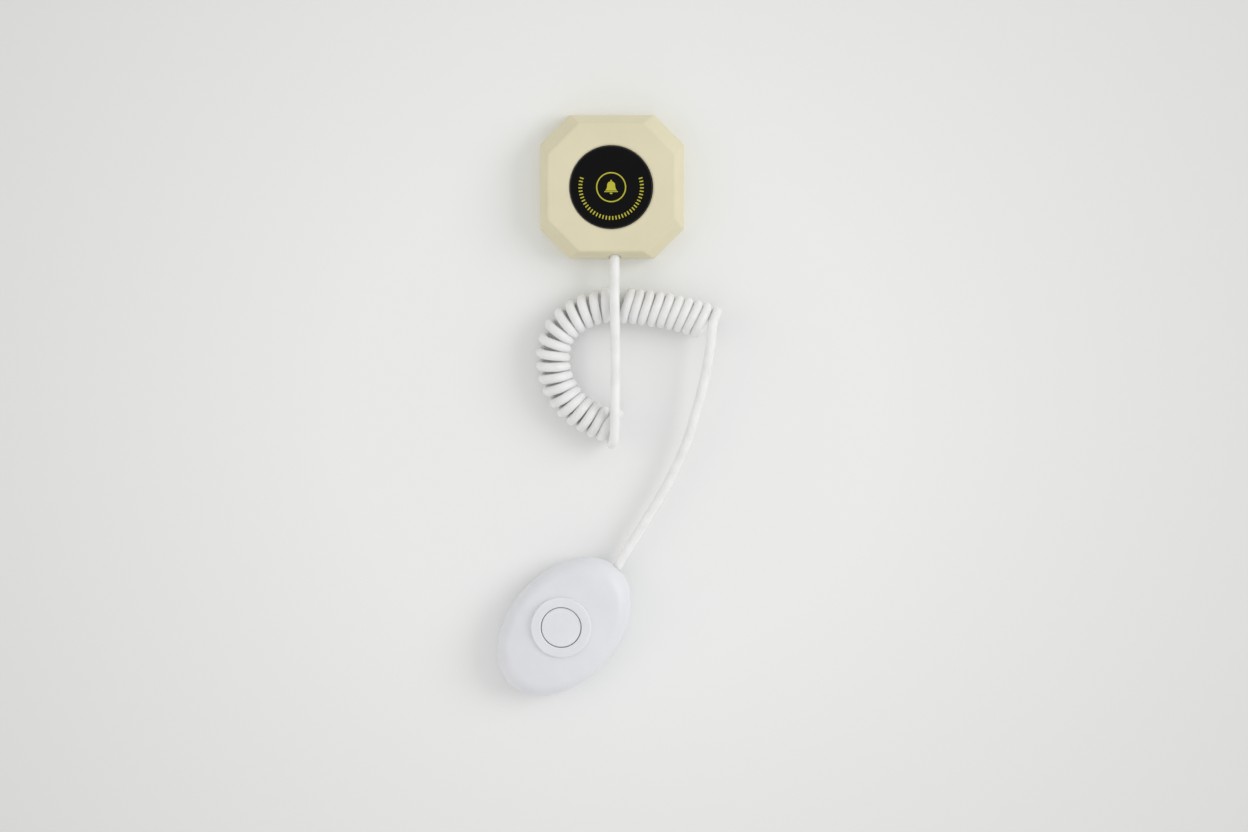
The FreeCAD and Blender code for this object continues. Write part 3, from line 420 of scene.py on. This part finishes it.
@dataclass(frozen=True)
class CellSleeve(Finish):
    """Shrunk sleeve of a small cell, with a light band at its plus end and bare metal ends."""

    metal: str = "#c9c6bd"
    # Where the cell starts and ends along X, in metres as model.glb gives it
    start: float = 0.0
    end: float = 0.0
    # The band as a share of the cell's length, and the bare metal at either end
    band: float = 0.24
    minus_rim: float = 0.3
    plus_rim: float = 0.9
    wrinkle: float = 2.0
    depth: float = 0.03
    uneven: Flat = (0.0, 0.12)

    def build(self) -> bpy.types.Material:
        """Make the material.

        Returns:
            The finished material.
        """
        material, tree, where = self.begin()
        x = add_node(tree, "ShaderNodeSeparateXYZ", {"Vector": where}).outputs["X"]
        banded = add_node(tree, "ShaderNodeMath",
                          {0: x, 1: self.end - self.band * (self.end - self.start)},
                          operation="GREATER_THAN")
        sleeve = add_node(tree, "ShaderNodeMix",
                          {MIX_SHARE: banded.outputs[0], **self.tints()}, data_type="RGBA")
        low = add_node(tree, "ShaderNodeMath", {0: x, 1: self.start + self.minus_rim * MM},
                       operation="LESS_THAN")
        high = add_node(tree, "ShaderNodeMath", {0: x, 1: self.end - self.plus_rim * MM},
                        operation="GREATER_THAN")
        bare = add_node(tree, "ShaderNodeMath", {0: low.outputs[0], 1: high.outputs[0]},
                        operation="MAXIMUM")
        colour = add_node(tree, "ShaderNodeMix",
                          {MIX_SHARE: bare.outputs[0], MIX_FIRST: sleeve.outputs[MIX_RESULT],
                           MIX_SECOND: linear(self.metal)}, data_type="RGBA")
        wrinkle = add_node(tree, "ShaderNodeTexNoise",
                           {"Vector": where, "Scale": a_metre(self.wrinkle), "Detail": 3.0,
                            "Roughness": LUMP_ROUGHNESS})
        rough = add_node(tree, "ShaderNodeMapRange",
                         {"Value": wrinkle.outputs["Fac"], **LUMP_RANGE, **self.rough_range()})
        return self.finish(material, colour.outputs[MIX_RESULT], rough.outputs["Result"],
                           wrinkle.outputs["Fac"], self.depth)


@dataclass(frozen=True)
class Palette:
    """Every real material of the set."""

    # Cover: cream ABS from a spark-eroded mould, an even satin with edges that catch the light
    cream_abs: Moulded = Moulded("cream_abs", "#e5ddbc", 0.42, "#e0d8b7", grain=0.3, depth=0.012,
                                 cloud=20.0, gloss=0.8, worn_edge=1.8)
    # Back plate and clamp: grey ABS in a plain tool finish, duller than the cover
    grey_abs: Moulded = Moulded("grey_abs", "#b9b8b0", 0.5, "#afaea6", grain=0.5)
    # Call button: black ABS with a half gloss, which shows as a thin bright line at its rim
    black_abs: Moulded = Moulded("black_abs", "#161618", 0.36, "#1c1c1e", grain=0.6, depth=0.004)
    # Label film: hard-coated polycarbonate printed black on its back, deep, even and quiet
    black_film: Moulded = Moulded("black_film", "#0b0b0c", 0.33, "#0e0e0f", grain=0.8,
                                  depth=0.003, cloud=30.0, rub=0.0, gloss=0.08)
    # Screen ink on the film: flat yellow with a little less ink here and there
    yellow_ink: Moulded = Moulded("yellow_ink", "#c3be36", 0.5, "#b8b232", grain=0.1,
                                  depth=0.004, cloud=0.6, rub=0.0, gloss=0.3)
    # Hand unit's shells: white ABS, a fine satin that lets a little light into its edges
    white_abs: Moulded = Moulded("white_abs", "#e9eaee", 0.4, "#e4e5ea", grain=0.35,
                                 depth=0.007, cloud=18.0, glow=0.4)
    # Push button: the same white ABS, polished a little more
    white_button: Moulded = Moulded("white_button", "#ebecf0", 0.34, "#e7e8ed", grain=0.5,
                                    depth=0.004, cloud=10.0, rub=0.0, glow=0.4)
    # Cord jacket: soft white PVC, slightly milky, with a blurred shine along each turn
    cord_pvc: Jacket = Jacket("cord_pvc", "#efefef", 0.42, "#e7e7e5")
    # Push switches: black nylon bodies, dry and matt
    switch_nylon: Moulded = Moulded("switch_nylon", "#1d1d1f", 0.55, "#252527", grain=0.2,
                                    cloud=3.0)
    # Chip: black epoxy, matt and slightly sandy
    chip_epoxy: Moulded = Moulded("chip_epoxy", "#222224", 0.62, "#2a2a2c", grain=0.12,
                                  depth=0.01, cloud=2.0)
    # Cord socket: natural nylon, a warm off-white
    natural_nylon: Moulded = Moulded("natural_nylon", "#e6e2d2", 0.45, "#dcd7c4", grain=0.3,
                                     cloud=4.0)
    # Resonator's can and the antenna: tin plate, bright with drawn lines
    tin_plate: Drawn = Drawn("tin_plate", "#c8c9c8", 0.32, "#adaeae")
    # Cell contacts: nickel-plated spring strip, a warmer and sharper shine
    nickel_strip: Drawn = Drawn("nickel_strip", "#c9c6bd", 0.28, "#b2aea3", lines=Axis.Y)
    # Screws: zinc-plated steel, darker in its turned lines
    zinc_steel: Drawn = Drawn("zinc_steel", "#a9a9a6", 0.36, "#86867f")
    # Circuit boards: green solder mask, glossy, lighter and raised over the copper
    solder_mask: SolderMask = SolderMask("solder_mask", "#23502f", 0.38, "#2f6a3c")


@dataclass(frozen=True)
class Wardrobe:
    """Puts the finishes on the CAD nodes that stay."""

    palette: Palette

    def by_node(self) -> dict[str, Finish]:
        """Name the finish of each CAD node.

        Returns:
            Node name to finish.
        """
        look = self.palette
        low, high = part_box("battery")
        # Cell: printed polyester sleeve, glossy and slightly wrinkled, over nickel-plated ends
        sleeve = CellSleeve("cell_sleeve", "#3f6f9a", 0.3, "#d8d4c4", start=low[0], end=high[0])
        groups: list[tuple[Finish, tuple[str, ...]]] = [
            (look.cream_abs, ("front_cover",)),
            (look.grey_abs, ("back_plate", "cord_clamp")),
            (look.black_abs, ("call_button_cap",)),
            (look.black_film, ("call_button_film",)),
            (look.white_abs, ("hand_front_shell", "hand_rear_shell")),
            (look.white_button, ("push_button",)),
            (look.cord_pvc, ("unit_cord_collar", "hand_cord_collar")),
            (look.switch_nylon, ("call_switch", "call_switch_plunger", "push_switch",
                                 "push_switch_plunger")),
            (look.chip_epoxy, ("transmitter_chip",)),
            (look.natural_nylon, ("cord_socket",)),
            (look.tin_plate, ("resonator_can", "antenna_loop")),
            (look.nickel_strip, ("battery_contact_plus", "battery_contact_minus")),
            (look.zinc_steel, ("cover_screws", "board_screws", "clamp_screws",
                               "hand_board_screws", "hand_shell_screws")),
            (look.solder_mask, ("circuit_board", "hand_circuit_board")),
            (sleeve, ("battery",)),
        ]
        return {node: finish for finish, nodes in groups for node in nodes}

    def dress(self, built: dict[str, bpy.types.Material]) -> None:
        """Give each CAD node its material.

        Args:
            built: Materials made so far by name, which grows here.
        """
        for node, finish in self.by_node().items():
            if finish.name not in built:
                built[finish.name] = finish.build()
            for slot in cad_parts[node].material_slots:
                slot.link = "OBJECT"
                slot.material = built[finish.name]
            LOG.info("%s wears %s", node, finish.name)


def mesh_piece(name: str, shape: bmesh.types.BMesh, material: bpy.types.Material,
               body: str) -> bpy.types.Object:
    """Turn a bmesh into a piece of the scene.

    Args:
        name: The piece's name.
        shape: What was built, which is freed.
        material: Its finish.
        body: CAD body that it rides on.

    Returns:
        The new object, at the origin.
    """
    data = bpy.data.meshes.new(name)
    bmesh.ops.recalc_face_normals(shape, faces=shape.faces)
    shape.to_mesh(data)
    shape.free()
    piece = bpy.data.objects.new(name, data)
    bpy.context.scene.collection.objects.link(piece)
    data.materials.append(material)
    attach(piece, body)
    return piece


@dataclass
class FacePrint:
    """Yellow print on the call button's film: a ring, a bell and a scale of plain ticks.

    Sizes are in millimetres, and the ticks' angles in degrees from +X.
    """

    ink: bpy.types.Material
    body: str = "call_button"
    # Thickness of the ink, a third of which is in the film so that no gap shows
    thick: float = 0.03
    sunk: float = 0.01
    ring_dia: float = 12.9
    ring_line: float = 0.54
    ring_steps: int = 96
    bell_tall: float = 6.6
    # The bell's own sizes are shares of its height, and its places are heights above its middle
    dome_half: float = 0.27
    dome_foot: float = 0.13
    dome_rise: float = 0.26
    dome_power: float = 0.9
    dome_steps: int = 12
    flare_out: float = 0.12
    flare_drop: float = 0.36
    flare_power: float = 2.2
    flare_steps: int = 8
    rim_half: float = 0.46
    rim_low: float = -0.33
    rim_high: float = -0.27
    clapper_half: float = 0.1
    clapper_top: float = -0.37
    clapper_steps: int = 12
    knob_half: float = 0.055
    knob_middle: float = 0.44
    knob_steps: int = 20
    tick_radius: float = 13.75
    tick_tall: float = 1.7
    tick_wide: float = 0.55
    tick_pitch: float = 1.45
    tick_from: float = 163.0
    tick_to: float = 377.0

    def floor(self) -> float:
        """Height at which the print starts, a little inside the film, in millimetres."""
        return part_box("call_button_film")[1][2] / MM - self.sunk

    def flat(self, shape: bmesh.types.BMesh, outline: Sequence[Flat]) -> None:
        """Add a flat printed patch.

        Args:
            shape: Where it goes.
            outline: Corners in millimetres about the button's middle.
        """
        floor = self.floor()
        corners = [shape.verts.new(mm((x, y, floor))) for x, y in outline]
        face = shape.faces.new(corners)
        raised = bmesh.ops.extrude_face_region(shape, geom=[face])
        lifted = [item for item in raised["geom"] if isinstance(item, bmesh.types.BMVert)]
        bmesh.ops.translate(shape, verts=lifted, vec=(0, 0, self.thick * MM))

    def ring(self) -> bpy.types.Object:
        """Make the ring round the bell.

        Returns:
            The ring's object.
        """
        shape = bmesh.new()
        low = self.floor()
        high = low + self.thick
        inner = (self.ring_dia - self.ring_line) / 2
        outer = (self.ring_dia + self.ring_line) / 2
        section = [(inner, low), (outer, low), (outer, high), (inner, high)]
        corners = [shape.verts.new(mm((r, 0, z))) for r, z in section]
        edges = [shape.edges.new(pair) for pair in zip(corners, corners[1:] + corners[:1])]
        bmesh.ops.spin(shape, geom=corners + edges, cent=(0, 0, 0), axis=(0, 0, 1),
                       angle=math.tau, steps=self.ring_steps, use_merge=True)
        return mesh_piece("print_ring", shape, self.ink, self.body)

    def bell_side(self) -> list[Flat]:
        """Work out the bell's right-hand side.

        Returns:
            Corners in millimetres, from the dome's top down to the flare's edge.
        """
        unit = self.bell_tall
        half, foot = self.dome_half * unit, self.dome_foot * unit
        side = []
        for i in range(self.dome_steps + 1):
            turn = math.pi / 2 * i / self.dome_steps
            side.append((half * math.sin(turn) ** self.dome_power,
                         foot + self.dome_rise * unit * math.cos(turn)))
        for i in range(1, self.flare_steps + 1):
            share = i / self.flare_steps
            side.append((half + self.flare_out * unit * share ** self.flare_power,
                         foot - self.flare_drop * unit * share))
        return side

    def round_side(self, middle: float, half: float, angles: Iterable[float]) -> list[Flat]:
        """Work out corners on a circle about a place on the bell's middle line.

        Args:
            middle: Height of the circle's middle, as a share of the bell's height.
            half: Its radius, as a share of the bell's height.
            angles: Where the corners lie, in radians.

        Returns:
            Corners in millimetres.
        """
        radius, height = half * self.bell_tall, middle * self.bell_tall
        return [(radius * math.cos(a), height + radius * math.sin(a)) for a in angles]

    def bell(self) -> bpy.types.Object:
        """Make the bell pictogram: dome, rim, clapper and knob.

        Returns:
            The bell's object.
        """
        shape = bmesh.new()
        side = self.bell_side()
        self.flat(shape, [(-x, y) for x, y in reversed(side[1:])] + side)
        half, low, high = (share * self.bell_tall
                           for share in (self.rim_half, self.rim_low, self.rim_high))
        self.flat(shape, [(-half, low), (-half, high), (half, high), (half, low)])
        lower = (math.pi * (1 + i / self.clapper_steps) for i in range(self.clapper_steps + 1))
        self.flat(shape, self.round_side(self.clapper_top, self.clapper_half, lower))
        whole = (math.tau * i / self.knob_steps for i in range(self.knob_steps))
        self.flat(shape, self.round_side(self.knob_middle, self.knob_half, whole))
        return mesh_piece("print_bell", shape, self.ink, self.body)

    def ticks(self) -> bpy.types.Object:
        """Make the arc of plain ticks.

        Returns:
            The ticks' object.
        """
        shape = bmesh.new()
        step = math.degrees(self.tick_pitch / self.tick_radius)
        count = round((self.tick_to - self.tick_from) / step)
        for i in range(count + 1):
            turn = math.radians(self.tick_from + (self.tick_to - self.tick_from) * i / count)
            outward = Vector((math.cos(turn), math.sin(turn)))
            across = Vector((-outward.y, outward.x)) * self.tick_wide / 2
            near = outward * (self.tick_radius - self.tick_tall / 2)
            far = outward * (self.tick_radius + self.tick_tall / 2)
            self.flat(shape, [tuple(near - across), tuple(far - across), tuple(far + across),
                              tuple(near + across)])
        return mesh_piece("print_ticks", shape, self.ink, self.body)

    def build(self) -> None:
        """Make all of the print."""
        for piece in (self.ring(), self.bell(), self.ticks()):
            LOG.info("%s is printed on %s", piece.name, self.body)


def route_curve(name: str, points: Sequence[Vector], resolution: int) -> bpy.types.Curve:
    """Make a curve of one open NURBS spline.

    Args:
        name: The curve's name.
        points: Control points in metres.
        resolution: Steps between two of them.

    Returns:
        The curve.
    """
    curve = bpy.data.curves.new(name, "CURVE")
    curve.dimensions = "3D"
    spline = curve.splines.new("NURBS")
    spline.points.add(len(points) - 1)
    for place, point in zip(spline.points, points):
        place.co = (point.x, point.y, point.z, 1.0)
    spline.order_u = SPLINE_ORDER
    spline.use_endpoint_u = True
    curve.resolution_u = resolution
    spline.resolution_u = resolution
    return curve


class RouteLine:
    """A smooth route, read off the NURBS curve of its control points."""

    def __init__(self, points: Sequence[Point], steps: int) -> None:
        """Read the line off a curve with no bevel.

        Args:
            points: Control points in millimetres.
            steps: Steps between two of them.
        """
        curve = route_curve("route_line", [mm(p) for p in points], steps)
        holder = bpy.data.objects.new("route_line", curve)
        bpy.context.scene.collection.objects.link(holder)
        bpy.context.view_layer.update()
        data = bpy.data.meshes.new_from_object(holder)
        self.places = [vertex.co / MM for vertex in data.vertices]
        bpy.data.objects.remove(holder)
        bpy.data.meshes.remove(data)
        bpy.data.curves.remove(curve)
        self.runs = [0.0]
        for before, after in zip(self.places, self.places[1:]):
            self.runs.append(self.runs[-1] + (after - before).length)

    def at(self, distance: float) -> tuple[Vector, Vector]:
        """Find a place on the line and the way it goes there.

        Args:
            distance: Millimetres from its start, also beyond either end.

        Returns:
            The place and the unit direction.
        """
        last = len(self.runs) - 2
        i = 0
        while i < last and self.runs[i + 1] < distance:
            i += 1
        before, after = self.places[i], self.places[i + 1]
        way = (after - before).normalized()
        near, far = self.places[max(i - 1, 0)], self.places[min(i + 2, last + 1)]
        return before + way * (distance - self.runs[i]), (far - near).normalized()


@dataclass
class CurlyCord:
    """Cord from the wall unit, through the curly part, to the hand unit.

    Sizes and places are in millimetres and leans in degrees. A turn's angle is in turns, from
    its top towards the coil's outer side.
    """

    jacket: bpy.types.Material
    body: str = "set"
    diameter: float = 4.3
    # Metres along the middle line, with every turn counted in
    length: float = 1.21
    exit_at: Point = (1.5, -32.1, 12.5)
    # The coil's axis, how far off it the turns lie outwards, and the radius of their middle line
    coil_height: float = 7.9
    outset: float = 0.5
    turn_radius: float = 5.7
    # Control points to a turn, and how far apart they may lie along the coil's axis
    steps_a_turn: int = 20
    longest_step: float = 1.6
    # Steps from one control point to the next on the axis and the cord, and on its quarter round
    axis_steps: int = 48
    cord_steps: int = 3
    round_steps: int = 5
    # How the turns lean before and after the change of hand, and how wide they are after it
    left_lean: float = -3.0
    right_lean: float = 19.0
    lean_change: float = 9.0
    right_spread: float = 0.7
    # Degrees that the lean loses with each millimetre from a place on
    lean_loss: float = 0.07
    lean_loss_from: float = 92.0
    # No turn of a used cord is quite like the next: how fast and how far lean and width wander
    seed: int = 11
    sway_rates: Point = (0.9, 2.3, 4.1)
    lean_sway: float = 1.6
    width_sway: float = 0.16
    width_sway_a_turn: float = 3.1
    width_sway_a_mm: float = 0.37
    unit_lead: tuple[Point, ...] = (
        (1.5, -26.1, 12.5), (1.5, -34.5, 12.6), (1.5, -41.5, 15.4), (1.6, -48.5, 18.6),
        (1.7, -58.5, 18.5), (1.9, -71.0, 16.9), (1.8, -85.5, 16.3), (1.7, -95.5, 17.7),
        (1.7, -103.0, 18.1), (1.6, -108.7, 17.9), (1.2, -113.3, 15.9), (0.1, -116.0, 11.9))
    coil_axis: tuple[Flat, ...] = (
        (3.0, -108.4), (-11.9, -104.0), (-25.7, -88.8), (-26.3, -65.4), (-7.3, -52.9),
        (13.8, -54.2), (34.6, -58.0), (47.2, -62.9))
    hand_lead: tuple[Point, ...] = (
        (45.1, -61.8, 14.0), (44.7, -68.5, 14.0), (43.4, -77.2, 13.1), (41.6, -86.7, 11.9),
        (38.9, -97.8, 10.6), (34.2, -113.8, 9.1), (29.5, -125.0, 8.5), (23.7, -136.2, 8.1),
        (15.8, -149.3, 7.9), (9.5, -159.6, 7.9), (4.3, -167.4, 8.0), (1.1, -174.5, 8.0))
    # Where each turn's top lies along the coil's axis, up to the place where it winds back
    left_tops: tuple[float, ...] = (
        0.3, 5.5, 9.5, 14.1, 18.85, 23.35, 27.9, 32.75, 37.65, 42.6, 47.65, 52.75, 58.0, 63.05,
        68.0, 73.0, 77.9, 82.8)
    # The winding's change of hand, hidden under the lead: place and angle past the last top
    reversal: tuple[Flat, ...] = (
        (83.2, 0.12), (83.4, 0.24), (83.8, 0.34), (84.8, 0.41), (86.1, 0.45), (87.5, 0.465),
        (88.9, 0.45), (90.2, 0.41), (91.2, 0.34), (91.6, 0.24), (91.8, 0.12))
    right_tops: tuple[float, ...] = (
        92.2, 96.4, 100.8, 105.2, 109.5, 113.7, 117.8, 122.0, 126.2, 130.6)
    # Angle at which the first turn takes over from the lead, and turns that the last one gives up
    start_turn: float = 0.26
    end_turn: float = 0.06
    # The first turn's outer half goes wide, by so much for each turn that is left to an angle
    drop_out: float = 1.5
    drop_fade: float = 1.15
    # From an angle on, and for so many turns, the first turn bulges back along the axis and out
    bulge_back: float = 2.4
    bulge_out: float = 1.2
    bulge_from: float = 0.3
    bulge_turns: float = 0.68

    def winding(self) -> list[Flat]:
        """List the winding's stations.

        Returns:
            Place along the axis in millimetres, and angle in turns.
        """
        stations = [(s, float(i)) for i, s in enumerate(self.left_tops)]
        peak = stations[-1][1]
        stations += [(s, peak + turn) for s, turn in self.reversal]
        stations += [(s, peak - i) for i, s in enumerate(self.right_tops)]
        return stations

    def first_turn(self, turns: float) -> Flat:
        """Work out how far the first turn strays from an even one.

        Args:
            turns: Angle in turns, less than 1 on the first turn only.

        Returns:
            Millimetres back along the axis, and out to the side.
        """
        if turns >= 1:
            return 0.0, 0.0
        drop = 0.0
        if turns < 0.5:
            drop = self.drop_out * (self.drop_fade - turns) * math.sqrt(math.sin(math.tau * turns))
        share = min(max((turns - self.bulge_from) / self.bulge_turns, 0.0), 1.0)
        bulge = math.sin(math.pi * share ** 2)
        return self.bulge_back * bulge, drop + self.bulge_out * bulge

    def strand(self, line: RouteLine, s: float, turns: float, sway: Callable[[float], float],
               grow: float) -> Vector:
        """Find a point of the helix.

        Args:
            line: The coil's axis.
            s: Place along the axis in millimetres.
            turns: Angle in turns.
            sway: Small wandering of each turn, by turns.
            grow: Makes up for what the spline cuts off a turn.

        Returns:
            The point in millimetres.
        """
        place, along = line.at(s)
        outward = Vector((-along.y, along.x, 0))
        share = min(max((s - self.left_tops[-1]) / self.lean_change, 0.0), 1.0)
        lean = math.radians(self.left_lean * (1 - share) + self.right_lean * share
                            - self.lean_loss * max(s - self.lean_loss_from, 0.0)
                            + self.lean_sway * sway(turns + s))
        sideways = outward * math.cos(lean) + along * math.sin(lean)
        back, out = self.first_turn(turns)
        wander = sway(self.width_sway_a_turn * turns + self.width_sway_a_mm * s)
        radius = self.turn_radius * grow
        width = radius + self.right_spread * share + self.width_sway * wander + out
        angle = math.tau * turns
        point = place + outward * self.outset - along * back
        point += sideways * (width * math.sin(angle))
        point.z = max(point.z + radius * math.cos(angle), self.coil_height - radius)
        return point

    def helix(self, line: RouteLine) -> list[Vector]:
        """Work out the curly part's control points.

        Args:
            line: The coil's axis.

        Returns:
            Points in millimetres.
        """
        chance = random.Random(self.seed)
        phases = [chance.uniform(0, math.tau) for _ in self.sway_rates]

        def sway(value: float) -> float:
            """Wander smoothly between about -1 and 1."""
            waves = [math.sin(rate * value + phase)
                     for rate, phase in zip(self.sway_rates, phases)]
            return sum(waves) / len(waves)

        stations = self.winding()
        step = 1 / self.steps_a_turn
        grow = 1 / (SPLINE_OWN + (1 - SPLINE_OWN) * math.cos(math.tau * step))
        points = []
        for (s0, turn0), (s1, turn1) in zip(stations, stations[1:]):
            count = max(1, round(max(abs(turn1 - turn0) / step, (s1 - s0) / self.longest_step)))
            for i in range(count):
                share = i / count
                turns = turn0 + (turn1 - turn0) * share
                if turns >= self.start_turn:
                    points.append(self.strand(line, s0 + (s1 - s0) * share, turns, sway, grow))
        given_up = round(self.end_turn * self.steps_a_turn)
        return points[:len(points) - given_up]

    def build(self) -> bpy.types.Object:
        """Returns:
            The cord's object.
        """
        line = RouteLine([(x, y, self.coil_height) for x, y in self.coil_axis], self.axis_steps)
        route = [Vector(p) for p in self.unit_lead] + self.helix(line)
        route += [Vector(p) for p in self.hand_lead]
        curve = route_curve("curly_cord", [p * MM for p in route], self.cord_steps)
        curve.bevel_depth = self.diameter / 2 * MM
        curve.bevel_resolution = self.round_steps
        curve.use_fill_caps = True
        curve.materials.append(self.jacket)
        cord = bpy.data.objects.new("curly_cord", curve)
        bpy.context.scene.collection.objects.link(cord)
        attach(cord, self.body)
        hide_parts("cord_unit_lead", "cord_coil", "cord_hand_lead")
        LOG.info("curly_cord has %d control points", len(route))
        return cord


@dataclass
class Lamp:
    """One soft box of the studio, with its sizes in metres and its power in watts."""

    name: str
    place: Point
    wide: float
    tall: float
    power: float
    tint: Point = (1.0, 1.0, 1.0)
    aim: Point = SET_MIDDLE

    def build(self) -> None:
        """Hang the lamp and point it."""
        light = bpy.data.lights.new(self.name, "AREA")
        light.shape = "RECTANGLE"
        light.size = self.wide
        light.size_y = self.tall
        light.energy = self.power
        light.color = self.tint
        lamp = bpy.data.objects.new(self.name, light)
        lamp.location = self.place
        way = Vector(self.aim) - Vector(self.place)
        lamp.rotation_euler = way.to_track_quat("-Z", "Y").to_euler()
        bpy.context.scene.collection.objects.link(lamp)


@dataclass
class Studio:
    """Plain table top, soft light and a camera that looks straight down."""

    # Matt white paper with painted shade, which turns it light grey towards the corners of the
    # camera's view
    paper: PaperWithPaintedShade = PaperWithPaintedShade("table_paper_painted_shade", "#f2f3f2", 0.8, "#e0e0df")
    table_half: float = 2.2
    # Camera, in millimetres: what it looks at, how far it stands off upright, and what it spans
    middle: Point = (5.5, -102.9, 10.0)
    lean: Flat = (55.0, 120.0)
    frame_width: float = 561.6
    lens: float = 120.0
    sensor: float = 36.0
    # How far it sees, in metres
    sees_to: float = 20.0
    # Strength of the room's light from overhead and from the sides
    zenith: float = 0.7
    horizon: float = 0.64
    lamps: tuple[Lamp, ...] = (
        Lamp("key_lamp", (2.7, 0.6, 1.9), 2.0, 1.8, 35.5),
        Lamp("fill_lamp", (-2.7, -0.1, 1.9), 2.4, 1.8, 9.0, tint=(1.0, 0.95, 0.84)),
        Lamp("head_lamp", (0.2, 2.4, 2.2), 2.2, 1.8, 3.0),
        Lamp("foot_lamp", (-0.6, -2.6, 1.9), 2.2, 1.8, 4.0),
    )

    def table_top(self) -> None:
        """Lay the table top."""
        shape = bmesh.new()
        bmesh.ops.create_grid(shape, x_segments=1, y_segments=1, size=self.table_half)
        bmesh.ops.translate(shape, verts=shape.verts, vec=SET_MIDDLE)
        data = bpy.data.meshes.new("table_top")
        shape.to_mesh(data)
        shape.free()
        top = bpy.data.objects.new("table_top", data)
        bpy.context.scene.collection.objects.link(top)
        data.materials.append(self.paper.build())

    def world(self) -> None:
        """Light the room softly, more from overhead than from its sides."""
        world = bpy.data.worlds.new("studio_world")
        world.use_nodes = True
        tree = world.node_tree
        tree.nodes.clear()
        way = add_node(tree, "ShaderNodeTexCoord")
        rise = add_node(tree, "ShaderNodeSeparateXYZ", {"Vector": way.outputs["Generated"]})
        level = add_node(tree, "ShaderNodeMapRange",
                         {"Value": rise.outputs["Z"], "From Min": 0.0, "From Max": 1.0,
                          "To Min": self.horizon, "To Max": self.zenith})
        sky = add_node(tree, "ShaderNodeBackground",
                       {"Color": (1, 1, 1, 1), "Strength": level.outputs["Result"]})
        add_node(tree, "ShaderNodeOutputWorld", {"Surface": sky.outputs["Background"]})
        bpy.context.scene.world = world

    def camera(self) -> None:
        """Hang the camera over the set, a few degrees off upright as in the photograph."""
        data = bpy.data.cameras.new("overhead_camera")
        data.lens = self.lens
        data.sensor_width = self.sensor
        data.clip_end = self.sees_to
        camera = bpy.data.objects.new("overhead_camera", data)
        reach = self.frame_width * self.lens / self.sensor
        across, up = self.lean
        rise = math.sqrt(reach ** 2 - across ** 2 - up ** 2)
        back = Vector((across, up, rise)).normalized()
        right = Vector((0, 1, 0)).cross(back).normalized()
        turned = Matrix((right, back.cross(right), back)).transposed()
        camera.rotation_euler = turned.to_euler()
        camera.location = mm(self.middle) + back * reach * MM
        bpy.context.scene.collection.objects.link(camera)
        bpy.context.scene.camera = camera

    def build(self) -> None:
        """Set the studio up."""
        bpy.context.scene.view_settings.view_transform = "Standard"
        self.camera()
        self.table_top()
        self.world()
        for lamp in self.lamps:
            lamp.build()


def main() -> None:
    """Build the scene in order."""
    logging.basicConfig(level=logging.INFO, format="%(name)s: %(message)s")
    palette = Palette()
    Studio().build()
    built = {"cord_pvc": palette.cord_pvc.build(), "yellow_ink": palette.yellow_ink.build()}
    CurlyCord(built["cord_pvc"]).build()
    Wardrobe(palette).dress(built)
    FacePrint(built["yellow_ink"]).build()


if __name__ == "__main__":
    main()
